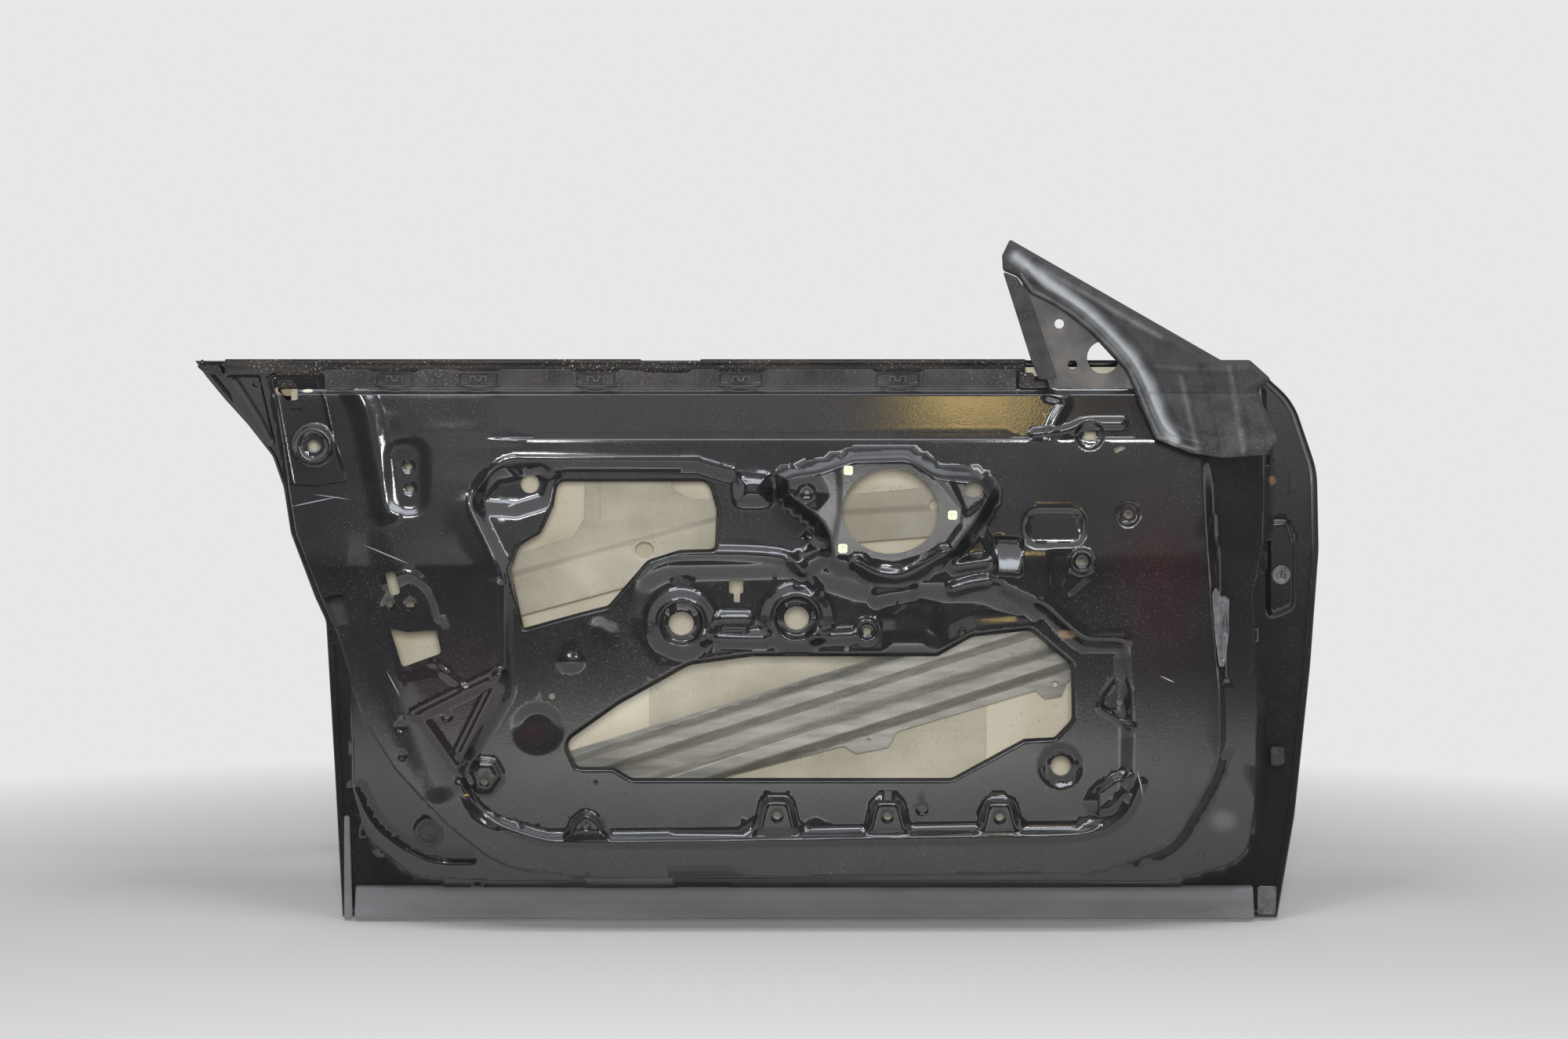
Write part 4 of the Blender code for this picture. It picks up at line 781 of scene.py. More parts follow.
@dataclass(frozen=True)
class Coat:
    """A coated or bare surface: its colour and its variation, gloss, grain and marks."""

    name: str
    colour: str
    second: str
    roughness: float
    metal: float = 0.0
    mottle_mm: float = 60.0
    rough_change: float = 0.08
    bump_mm: float = 2.0
    bump: float = 0.05
    dust: str = "#8d877c"
    dust_share: float = 0.1
    dust_mm: float = 1.2
    stretch: tuple[float, float, float] = (1.0, 1.0, 1.0)
    turn: float = 0.0
    coat: float = 0.0
    coat_roughness: float = 0.42
    specular: float = 0.5
    worn: str | None = None
    patches: Sequence[Patch] = ()

    def make(self) -> bpy.types.Material:
        """Builds the material.

        Returns: the material.
        """
        finish = bpy.data.materials.new(self.name)
        finish.use_nodes = True
        graph = finish.node_tree
        shader = graph.nodes["Principled BSDF"]
        shader.inputs["Metallic"].default_value = self.metal
        shader.inputs["Coat Weight"].default_value = self.coat
        shader.inputs["Coat Roughness"].default_value = self.coat_roughness
        shader.inputs["Specular IOR Level"].default_value = self.specular
        where = add_node(graph, "ShaderNodeTexCoord").outputs["Object"]
        along = add_node(graph, "ShaderNodeMapping", {"Scale": self.stretch, "Rotation": (0, self.turn, 0)},
                         {"Vector": where}).outputs[0]
        mottle = add_node(graph, "ShaderNodeTexNoise", {"Scale": 1000 / self.mottle_mm, "Detail": 5.0},
                          {"Vector": along}).outputs[0]
        share = add_node(graph, "ShaderNodeMapRange", {"From Min": 0.35, "From Max": 0.65}, {"Value": mottle})
        colour = add_node(graph, "ShaderNodeMix", {"data_type": "RGBA", 6: linear(self.colour),
                                                   7: linear(self.second)}, {0: share.outputs[0]}).outputs[2]
        for patch in self.patches:
            colour = self.patched(graph, where, colour, patch)
        specks = add_node(graph, "ShaderNodeTexNoise", {"Scale": 1000 / self.dust_mm, "Detail": 2.0},
                          {"Vector": where}).outputs[0]
        cloud = add_node(graph, "ShaderNodeTexNoise", {"Scale": 9.0, "Detail": 3.0},
                         {"Vector": where}).outputs[0]
        dusty = add_node(graph, "ShaderNodeMapRange", {"From Min": 0.35, "From Max": 0.75, "To Min": 0.2,
                                                       "To Max": self.dust_share * 6}, {"Value": cloud})
        lit = add_node(graph, "ShaderNodeMapRange", {"From Min": 0.62, "From Max": 0.76}, {"Value": specks})
        weight = add_node(graph, "ShaderNodeMath", {"operation": "MULTIPLY", "use_clamp": True},
                          {0: dusty.outputs[0], 1: lit.outputs[0]}).outputs[0]
        colour = add_node(graph, "ShaderNodeMix", {"data_type": "RGBA", 7: linear(self.dust)},
                          {0: weight, 6: colour}).outputs[2]
        if self.worn is not None:
            crest = add_node(graph, "ShaderNodeAttribute", {"attribute_name": "wear"}).outputs["Fac"]
            broken = add_node(graph, "ShaderNodeMath", {"operation": "MULTIPLY_ADD", 1: 0.9, 2: -0.45},
                              {0: mottle}).outputs[0]
            rubbed = add_node(graph, "ShaderNodeMath", {"operation": "ADD", "use_clamp": True},
                              {0: crest, 1: broken}).outputs[0]
            rubbed = add_node(graph, "ShaderNodeMath", {"operation": "MULTIPLY"},
                              {0: rubbed, 1: crest}).outputs[0]
            colour = add_node(graph, "ShaderNodeMix", {"data_type": "RGBA", 7: linear(self.worn)},
                              {0: rubbed, 6: colour}).outputs[2]
        graph.links.new(colour, shader.inputs["Base Color"])
        rough = add_node(graph, "ShaderNodeMapRange", {
            "From Min": 0.3, "From Max": 0.7, "To Min": self.roughness - self.rough_change / 2,
            "To Max": self.roughness + self.rough_change / 2}, {"Value": cloud}).outputs[0]
        rough = add_node(graph, "ShaderNodeMath", {"operation": "MULTIPLY_ADD", 1: 0.4},
                         {0: weight, 2: rough})
        graph.links.new(rough.outputs[0], shader.inputs["Roughness"])
        grain = add_node(graph, "ShaderNodeTexNoise", {"Scale": 1000 / self.bump_mm, "Detail": 3.0},
                         {"Vector": along}).outputs[0]
        relief = add_node(graph, "ShaderNodeBump", {"Strength": self.bump, "Distance": 0.001},
                          {"Height": grain})
        graph.links.new(relief.outputs[0], shader.inputs["Normal"])
        return finish

    @staticmethod
    def patched(graph: bpy.types.NodeTree, where: bpy.types.NodeSocket, colour: bpy.types.NodeSocket,
                patch: Patch) -> bpy.types.NodeSocket:
        """Lays one patch over a colour.

        Returns: the new colour.
        """
        centre = spot(patch.u, patch.v, 0.06)
        local = add_node(graph, "ShaderNodeMapping", {
            "vector_type": "TEXTURE", "Location": centre, "Rotation": (0, math.radians(patch.turn), 0),
            "Scale": (patch.across * PIXEL, 1.0, patch.down * PIXEL)}, {"Vector": where}).outputs[0]
        if patch.ragged:
            noise = add_node(graph, "ShaderNodeTexNoise", {"Scale": 2.5, "Detail": 6.0}, {"Vector": local})
            local = add_node(graph, "ShaderNodeVectorMath", {"operation": "MULTIPLY_ADD",
                                                             1: (patch.ragged, 0.0, patch.ragged)},
                             {0: noise.outputs[1], 2: local}).outputs[0]
        span = add_node(graph, "ShaderNodeVectorMath", {"operation": "LENGTH"}, {0: local}).outputs["Value"]
        mask = add_node(graph, "ShaderNodeMapRange", {"interpolation_type": "SMOOTHSTEP", "From Min": 1.0,
                                                      "From Max": 1.0 - patch.soft, "To Max": patch.share},
                        {"Value": span})
        return add_node(graph, "ShaderNodeMix", {"data_type": "RGBA", 7: linear(patch.colour)},
                        {0: mask.outputs[0], 6: colour}).outputs[2]


class Finish(Enum):
    """The finishes of the door's pieces."""

    # Black dipped and stoved paint: glossy, faint orange peel, specks of dust, brown wear and thin scratches;
    # its dark red patches, one yellow fleck and one grey patch are painted reflections
    PAINT = Coat("black_paint_with_painted_reflections", "#151416", "#1b1a1b", 0.11, rough_change=0.05, bump_mm=3.0, bump=0.04,
                 dust="#6b6862", dust_share=0.16, coat=0.5, specular=0.85, patches=(
                     # Painted reflections: dark red patches where red things in the room show in the gloss
                     Patch(1470, 740, 85, 170, "#2b1518", share=0.6, soft=0.9),
                     Patch(590, 880, 110, 110, "#241318", turn=20, share=0.5, soft=0.9),
                     Patch(900, 870, 90, 60, "#241517", share=0.5, soft=0.9),
                     Patch(1357, 805, 13, 7, "#7a6448", turn=8, share=0.9, ragged=0.5),
                     Patch(362, 491, 15, 9, "#b9a98c", turn=-20, share=0.9, soft=0.3, ragged=0.4),
                     Patch(390, 497, 8, 3, "#cfcab9", share=0.9, soft=0.3, ragged=0.3),
                     Patch(408, 640, 36, 1.1, "#8b8d92", turn=-12, share=0.8),
                     Patch(430, 634, 28, 0.9, "#8b8d92", turn=8, share=0.7),
                     Patch(502, 706, 38, 1.0, "#9a9b9e", turn=22, share=0.7),
                     Patch(512, 868, 22, 0.8, "#a6a7a9", turn=62, share=0.7),
                     Patch(1445, 993, 20, 0.8, "#b4b4b4", turn=78, share=0.7),
                     Patch(1479, 862, 12, 0.8, "#b4b4b4", turn=25, share=0.8),
                     Patch(1636, 610, 10, 8, "#6d5038", share=0.8, ragged=0.4),
                     # Painted reflection: yellow fleck of a warm light on the ledge's bright edge
                     Patch(603, 1007, 4, 1.4, "#a58a35", share=0.9),
                     # Painted reflection: dark red patch in the round dish
                     Patch(686, 930, 26, 24, "#2c181b", share=0.5, soft=0.8),
                     # Painted reflection: lighter grey patch where a facet reflects the room
                     Patch(1562, 1042, 25, 20, "#59585a", share=0.6, soft=0.8, ragged=0.3)))
    # The same paint on the belt strips: rubbed, dusty grey-brown band and short scratches
    WAIST = Coat("rubbed_belt_paint", "#232224", "#353230", 0.34, rough_change=0.2, mottle_mm=25, bump_mm=1.5,
                 bump=0.12, dust="#a29a8c", dust_share=0.6, dust_mm=2.0, stretch=(0.25, 1, 1))
    # Black paint under years of dust, on the plate under the mirror
    DUSTY = Coat("dusty_black_paint", "#4c4b4c", "#63605d", 0.42, rough_change=0.2, mottle_mm=30, bump_mm=1.2,
                 bump=0.1, dust="#8f8779", dust_share=0.5, dust_mm=1.6)
    # The same dust, thinner, on the belt rail
    RAIL = Coat("dusty_rail_paint", "#2d2c2d", "#403e3d", 0.38, rough_change=0.2, mottle_mm=40, bump_mm=1.2,
                bump=0.1, dust="#857e72", dust_share=0.35, dust_mm=1.6)
    # EPDM moulding: matte, grey bloom and pale rubbed folds
    RUBBER = Coat("moulded_rubber", "#2a2a2b", "#39393a", 0.6, rough_change=0.12, mottle_mm=22, bump_mm=0.9,
                  bump=0.18, dust="#8f8f8d", dust_share=0.22, dust_mm=1.1, worn="#939597")
    # EPDM sponge strip of the sill: smooth bloom
    STRIP = Coat("sponge_rubber_strip", "#5e5f61", "#6c6d6f", 0.5, rough_change=0.12, mottle_mm=70,
                 bump_mm=1.4, bump=0.1, dust="#8b8a86", dust_share=0.25, dust_mm=1.4, stretch=(0.3, 1, 1))
    # Cream zinc primer inside the skin: chalky with faint runs
    PRIMER = Coat("cream_primer", "#c2baa4", "#d2cbb8", 0.55, mottle_mm=90, bump_mm=3.0, bump=0.06,
                  dust="#8d8574", dust_share=0.25, dust_mm=2.5, stretch=(1, 1, 0.35))
    # Grey primer on the brace: satin
    BRACE = Coat("grey_primer", "#9d9786", "#aaa597", 0.42, mottle_mm=50, bump_mm=2.5, bump=0.08,
                 dust="#6c675d", dust_share=0.25, dust_mm=2.0)
    # Zinc coated steel of the beam: greyish metal with rolling streaks along it
    BEAM = Coat("zinc_coated_steel", "#a09e96", "#bbb9b0", 0.38, metal=0.55, mottle_mm=9, bump_mm=3.0,
                bump=0.05, dust="#5b564c", dust_share=0.3, dust_mm=2.0,
                stretch=(0.12, 1, 1), turn=math.radians(-17))
    # Bitumen damping sheet with a grey-green film: faint creases
    DAMPING = Coat("damping_sheet", "#b2ac9a", "#bfb9a8", 0.5, mottle_mm=45, bump_mm=9.0, bump=0.35,
                   dust="#5f5f55", dust_share=0.25, dust_mm=2.0)
    # Weathered plain steel: dull, mottled, brown at the edges
    STEEL = Coat("dull_steel", "#6f7073", "#8c8d90", 0.42, metal=0.7, mottle_mm=9, bump_mm=1.2, bump=0.12,
                 dust="#6a5038", dust_share=0.35, dust_mm=1.5)
    # Blued spring strip of the rail clips
    SPRING = Coat("spring_strip", "#77777c", "#8d8d92", 0.34, metal=0.6, mottle_mm=6, bump_mm=0.8, bump=0.08,
                  dust="#8f8779", dust_share=0.25)
    # Aged natural nylon of the speaker clips
    NYLON = Coat("natural_nylon", "#cfd2b4", "#dadfc6", 0.4, mottle_mm=5, bump_mm=0.8, bump=0.05,
                 dust="#7c7a66", dust_share=0.2)


class Finishes:
    """Makes each finish once."""

    def __init__(self) -> None:
        """Starts empty."""
        self.made: dict[Finish, bpy.types.Material] = {}

    def get(self, finish: Finish) -> bpy.types.Material:
        """The material of a finish."""
        if finish not in self.made:
            self.made[finish] = finish.value.make()
        return self.made[finish]


def mount(piece: bpy.types.Object, slot: str, *nodes: str) -> bpy.types.Object:
    """Puts a piece on the door.

    Args: slot: not used. nodes: the CAD nodes that the piece stands for.
    Returns: the piece.
    """
    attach(piece, "root")
    if nodes:
        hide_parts(*nodes)
    log.info("%s: %d faces", piece.name, len(piece.data.polygons))
    return piece


@dataclass
class InnerPanel:
    """The pressed inner panel with its openings."""

    shell: Shell
    step: float = 2.0
    round_holes: Sequence[tuple[float, float, float, float]] = (
        (869, 795, 16, 15), (1016, 788, 16, 15), (676, 617, 12, 12), (1242, 624, 12.7, 10),
        (1353, 976.5, 12.5, 12.5), (400, 568, 9.5, 9.5), (521, 595, 5, 5), (523, 623, 5, 5),
        (1106, 805, 5, 5), (1380, 716, 8, 8), (1439, 656, 5, 5), (523, 771, 5.5, 5.5), (497, 771, 4, 4),
        (991, 1040, 4.5, 4.5), (1132, 1041, 4.5, 4.5), (1275, 1042, 4.5, 4.5), (618, 997, 4, 4),
        (747, 1053, 4, 4), (1416, 1016, 4, 4), (1428, 895, 4, 4), (760, 998, 3.5, 3.5),
        (797, 1012, 3.5, 3.5), (1334, 1005, 3, 3), (570, 913, 4, 4), (704, 888, 4, 4),
        (1227, 807, 3, 3), (1367, 806, 4, 4), (1080, 828, 3.5, 3))
    shaped_holes: Sequence[Sequence[tuple[float, float, float]]] = (
        ((494, 789, 5), (552, 785, 6), (563, 833, 6), (513, 851, 5)),
        ((491, 731, 5), (503, 727, 5), (511, 757, 5), (498, 760, 5)),
        ((413, 762, 2), (436, 758, 4), (449, 794, 4), (428, 799, 2)),
        ((930, 739, 1), (948, 739, 1), (948, 756, 1), (944, 757, 1), (944, 768, 1), (936, 768, 1),
         (936, 757, 1), (930, 756, 1)),
        ((1383, 550, 1), (1398, 550, 1), (1398, 561, 1), (1383, 561, 1)),
        ((1420, 572, 2), (1433, 566, 2), (1436, 572, 2), (1423, 578, 2)),
        ((1627, 602, 2), (1645, 602, 2), (1645, 630, 4), (1627, 630, 4)),
        ((1609, 919, 2), (1615, 919, 2), (1615, 1031, 2), (1609, 1031, 2)))

    def build(self, finishes: Finishes) -> None:
        """Makes the panel.

        Args: finishes: the materials.
        """
        holes = [ellipse(u, v, across, down, 20) for u, v, across, down in self.round_holes]
        holes += [rounded(corners, 1.5) for corners in self.shaped_holes]
        holes += [LIP_WINDOW, ellipse(1135.5, 652, 62, 54, 72), UPPER_OPENING, LOWER_OPENING]
        sheet = Relief("stamped_inner_panel", FLANGE, self.shell.panel,
                       above(self.shell.panel, -self.shell.inner_sheet), holes, self.shell.bends(),
                       self.shell.slopes(), step=self.step, bend=0.13)
        mount(sheet.build(finishes.get(Finish.PAINT)), "black_paint", "inner_panel")


@dataclass
class OuterSkin:
    """The bowed outer sheet, folded round the inner panel's flange."""

    shell: Shell
    lip: float = 9.0
    narrow_lip: float = 3.6
    roll: float = 2.3
    inset: float = 1.1

    def build(self, finishes: Finishes) -> None:
        """Makes the outer face, the rounded fold, its lip and the inner face.

        Args: finishes: the materials.
        """
        shell = self.shell
        outline = divided(SKIN, 8)
        narrow = (outline[:, 0] < 420) & (outline[:, 1] > 560) & (outline[:, 1] < 800)
        width = np.where(narrow, self.narrow_lip, self.lip)
        sheet, gap = shell.outer_sheet, shell.inner_sheet + 2 * shell.hem
        handles = [rounded(((430, 580, 14), (470, 580, 14), (470, 612, 14), (430, 612, 14))),
                   rounded(((560, 580, 12), (590, 580, 12), (590, 612, 12), (560, 612, 12)))]
        points: list[Array] = []
        faces: list = []

        def ring(offset: Array | float, depth: Callable[[Array, Array], Array]) -> Array:
            """Adds one ring of points.

            Args: offset: pixels inwards. depth: of the ring.
            Returns: the points' numbers.
            """
            loop = moved(outline, -offset if np.ndim(offset) else -float(offset))
            points.append(place(loop[:, 0], loop[:, 1], sampled(depth, loop[:, 0], loop[:, 1])))
            return np.arange(len(loop)) + sum(map(len, points)) - len(loop)

        def side(offset: float, form: Field, outwards: bool) -> list[Array]:
            """Adds a filled face and gives its rings.

            Args: offset: pixels inwards. form: the surface. outwards: the way it faces.
            Returns: the rings' points by number.
            """
            loops = [moved(outline, -offset), *[divided(handle, 6) for handle in handles]]
            fill = Relief("fill", loops[0], form, form, loops[1:], step=11, coarse=4, bend=9e9)
            free, _ = fill.grid()
            places, triangles, where = fill.filled(free, loops)
            first = sum(map(len, points))
            points.append(place(places[:, 0], places[:, 1], sampled(form, places[:, 0], places[:, 1])))
            faces.extend((triangles[:, ::-1] if outwards else triangles) + first)
            starts = np.cumsum([0, *map(len, loops)])
            return [where[start:end] + first for start, end in zip(starts, starts[1:])]

        skin_inside = above(shell.skin, sheet)
        outer = side(self.roll, shell.skin, True)
        start = len(faces)
        inner = side(self.inset, skin_inside, False)
        primed = range(start, len(faces))
        rings = [inner[0], ring(self.inset, above(skin_inside, gap)), ring(width, above(skin_inside, gap)),
                 ring(width, above(shell.lip, -sheet * 0.4)), ring(width - 0.8, shell.lip)]
        for step in range(7):
            turn = math.pi * step / 6
            middle, half = (sheet * 2 + gap) / 2, (sheet * 2 + gap) / 2
            rings.append(ring(self.roll * (1 - math.sin(turn)),
                              above(shell.skin, middle + half * math.cos(turn))) if step < 6 else outer[0])
        for start, end in zip(rings, rings[1:]):
            faces.extend(np.stack([start, np.roll(start, -1), np.roll(end, -1), end], axis=1))
        for near, far in zip(inner[1:], outer[1:]):
            faces.extend(np.stack([near, far, np.roll(far, -1), np.roll(near, -1)], axis=1))
        piece = finished_mesh("folded_outer_skin", np.concatenate(points), [face.tolist() for face in faces],
                              None, finishes.get(Finish.PAINT))
        solid = bmesh.new()
        solid.from_mesh(piece.data)
        loose = [point for point in solid.verts if not point.link_faces]
        bmesh.ops.delete(solid, geom=loose, context="VERTS")
        bmesh.ops.recalc_face_normals(solid, faces=solid.faces)
        solid.to_mesh(piece.data)
        solid.free()
        piece.data.set_sharp_from_angle(angle=math.radians(50))
        self.prime(piece, finishes, primed)
        mount(piece, "black_paint", "outer_skin")

    @staticmethod
    def prime(piece: bpy.types.Object, finishes: Finishes, inside: range) -> None:
        """Gives the faces inside the door their primer.

        Args: piece: the skin. finishes: the materials. inside: numbers of the inner faces.
        """
        piece.data.materials.append(finishes.get(Finish.PRIMER))
        piece.data.materials.append(finishes.get(Finish.DUSTY))
        left, rear, right = (spot(u, 0, 0.12).x for u in (385, 456, 1590))
        top, cut, foot = spot(0, 464, 0.12).z, spot(0, 700, 0.12).z, 0.02
        for number in inside:
            face = piece.data.polygons[number]
            if left < face.center.x < right and foot < face.center.z < top:
                face.material_index = 2 if face.center.x < rear and face.center.z < cut else 1


def plate(name: str, corners: Sequence[tuple[float, float, float]] | Array, near: Field, far: Field,
          material: bpy.types.Material, holes: Sequence[Array] = (), edge: float = 2.0, drop: float = 0.0006,
          step: float = 1.5, wear: Field | None = None) -> bpy.types.Object:
    """A sheet piece with a rounded edge.

    Args: near, far: depths of its two sides. edge, drop: radius of the edge in pixels and metres.
    Returns: the object.
    """
    outline = corners if isinstance(corners, Array) else rounded(corners)
    return Relief(name, outline, eased(near, outline, edge, drop), far, holes, step=step, wear=wear,
                  edge=3.0).build(material)


def with_shapes(surface: Field, shapes: Sequence[Press | Bead]) -> Field:
    """A surface with shapes formed in it."""
    def formed(u: Array, v: Array) -> Array:
        """The surface with every shape added.

        Args: u, v: pixels.
        Returns: metres for each.
        """
        depth = np.array(np.broadcast_to(surface(u, v), np.shape(u)))
        for shape in shapes:
            depth = shape.add(u, v, depth)
        return depth
    return formed


@dataclass
class SweptStrip:
    """Geometry Nodes tree that sweeps a flat strip along paths and rounds their corners."""

    name: str
    half_width: float
    half_height: float
    corner: float = 0.0008

    def tree(self, finish: bpy.types.Material) -> bpy.types.NodeTree:
        """Builds the tree with its named inputs.

        Args: finish: the material that the tree sets.
        Returns: the tree.
        """
        graph = bpy.data.node_groups.new(self.name, "GeometryNodeTree")
        face = graph.interface
        face.new_socket("Geometry", in_out="INPUT", socket_type="NodeSocketGeometry")
        for name in ("Width", "Height", "Corner radius"):
            face.new_socket(name, in_out="INPUT", socket_type="NodeSocketFloat")
        face.new_socket("Geometry", in_out="OUTPUT", socket_type="NodeSocketGeometry")
        given = add_node(graph, "NodeGroupInput")
        path = add_node(graph, "GeometryNodeMeshToCurve", links={0: given.outputs[0]}).outputs[0]
        bent = add_node(graph, "GeometryNodeFilletCurve", {"mode": "POLY", "Count": 3},
                        {"Curve": path, "Radius": given.outputs["Corner radius"]}).outputs[0]
        profile = add_node(graph, "GeometryNodeCurvePrimitiveQuadrilateral", {"mode": "RECTANGLE"},
                           {"Width": given.outputs["Width"], "Height": given.outputs["Height"]})
        swept = add_node(graph, "GeometryNodeCurveToMesh", {"Fill Caps": True},
                         {"Curve": bent, "Profile Curve": profile.outputs[0]}).outputs[0]
        real = add_node(graph, "GeometryNodeRealizeInstances", links={0: swept}).outputs[0]
        done = add_node(graph, "GeometryNodeSetMaterial", {"Material": finish}, {0: real}).outputs[0]
        add_node(graph, "NodeGroupOutput", links={0: done})
        return graph

    def build(self, paths: Sequence[Array], finish: bpy.types.Material) -> bpy.types.Object:
        """Sweeps the strip along every path.

        Args: paths: world places of each path.
        Returns: a plain mesh object.
        """
        points = np.concatenate(paths)
        starts = np.cumsum([0, *map(len, paths)])
        edges = [(index, index + 1) for start, end in zip(starts, starts[1:])
                 for index in range(start, end - 1)]
        return baked(self.name, points, edges, self.tree(finish), {
            "Width": self.half_width * 2, "Height": self.half_height * 2, "Corner radius": self.corner})


@dataclass
class WeldMarks:
    """Geometry Nodes tree that sets a low ring on every point and turns it to the surface."""

    name: str
    radius: float
    wire: float

    def tree(self, finish: bpy.types.Material) -> bpy.types.NodeTree:
        """Builds the tree with its named inputs.

        Args: finish: the material that the tree sets.
        Returns: the tree.
        """
        graph = bpy.data.node_groups.new(self.name, "GeometryNodeTree")
        face = graph.interface
        face.new_socket("Geometry", in_out="INPUT", socket_type="NodeSocketGeometry")
        for name in ("Ring radius", "Wire radius"):
            face.new_socket(name, in_out="INPUT", socket_type="NodeSocketFloat")
        face.new_socket("Geometry", in_out="OUTPUT", socket_type="NodeSocketGeometry")
        given = add_node(graph, "NodeGroupInput")
        ring = add_node(graph, "GeometryNodeCurvePrimitiveCircle", {"Resolution": 16},
                        {"Radius": given.outputs["Ring radius"]}).outputs[0]
        wire = add_node(graph, "GeometryNodeCurvePrimitiveCircle", {"Resolution": 6},
                        {"Radius": given.outputs["Wire radius"]}).outputs[0]
        mark = add_node(graph, "GeometryNodeCurveToMesh",
                        links={"Curve": ring, "Profile Curve": wire}).outputs[0]
        facing = add_node(graph, "GeometryNodeInputNamedAttribute", {"data_type": "FLOAT_VECTOR",
                                                                     "Name": "facing"}).outputs[0]
        turned = add_node(graph, "FunctionNodeAlignRotationToVector", {"axis": "Z"},
                          {"Vector": facing}).outputs[0]
        spread = add_node(graph, "GeometryNodeInstanceOnPoints",
                          links={"Points": given.outputs[0], "Instance": mark, "Rotation": turned}).outputs[0]
        real = add_node(graph, "GeometryNodeRealizeInstances", links={0: spread}).outputs[0]
        done = add_node(graph, "GeometryNodeSetMaterial", {"Material": finish}, {0: real}).outputs[0]
        add_node(graph, "NodeGroupOutput", links={0: done})
        return graph

    def build(self, points: Array, facing: Array, finish: bpy.types.Material) -> bpy.types.Object:
        """Sets a ring on every point.

        Returns: a plain mesh object.
        """
        return baked(self.name, points, [], self.tree(finish),
                     {"Ring radius": self.radius, "Wire radius": self.wire}, facing)


def baked(name: str, points: Array, edges: list, tree: bpy.types.NodeTree, values: dict[str, float],
          facing: Array | None = None) -> bpy.types.Object:
    """Runs a Geometry Nodes tree on points and edges and keeps the result.

    Args: values: the tree's inputs by name. facing: direction for each point.
    Returns: the object, without its modifier.
    """
    mesh = bpy.data.meshes.new(name)
    mesh.from_pydata(points.tolist(), edges, [])
    if facing is not None:
        layer = mesh.attributes.new("facing", "FLOAT_VECTOR", "POINT")
        layer.data.foreach_set("vector", facing.ravel().astype(np.float32))
    piece = bpy.data.objects.new(name, mesh)
    bpy.context.scene.collection.objects.link(piece)
    modifier = piece.modifiers.new("Form", "NODES")
    modifier.node_group = tree
    for socket in tree.interface.items_tree:
        if socket.name in values:
            modifier[socket.identifier] = values[socket.name]
    graph = bpy.context.evaluated_depsgraph_get()
    result = bpy.data.meshes.new_from_object(piece.evaluated_get(graph))
    piece.modifiers.clear()
    piece.data = result
    result.name = name
    result.set_sharp_from_angle(angle=math.radians(40))
    return piece


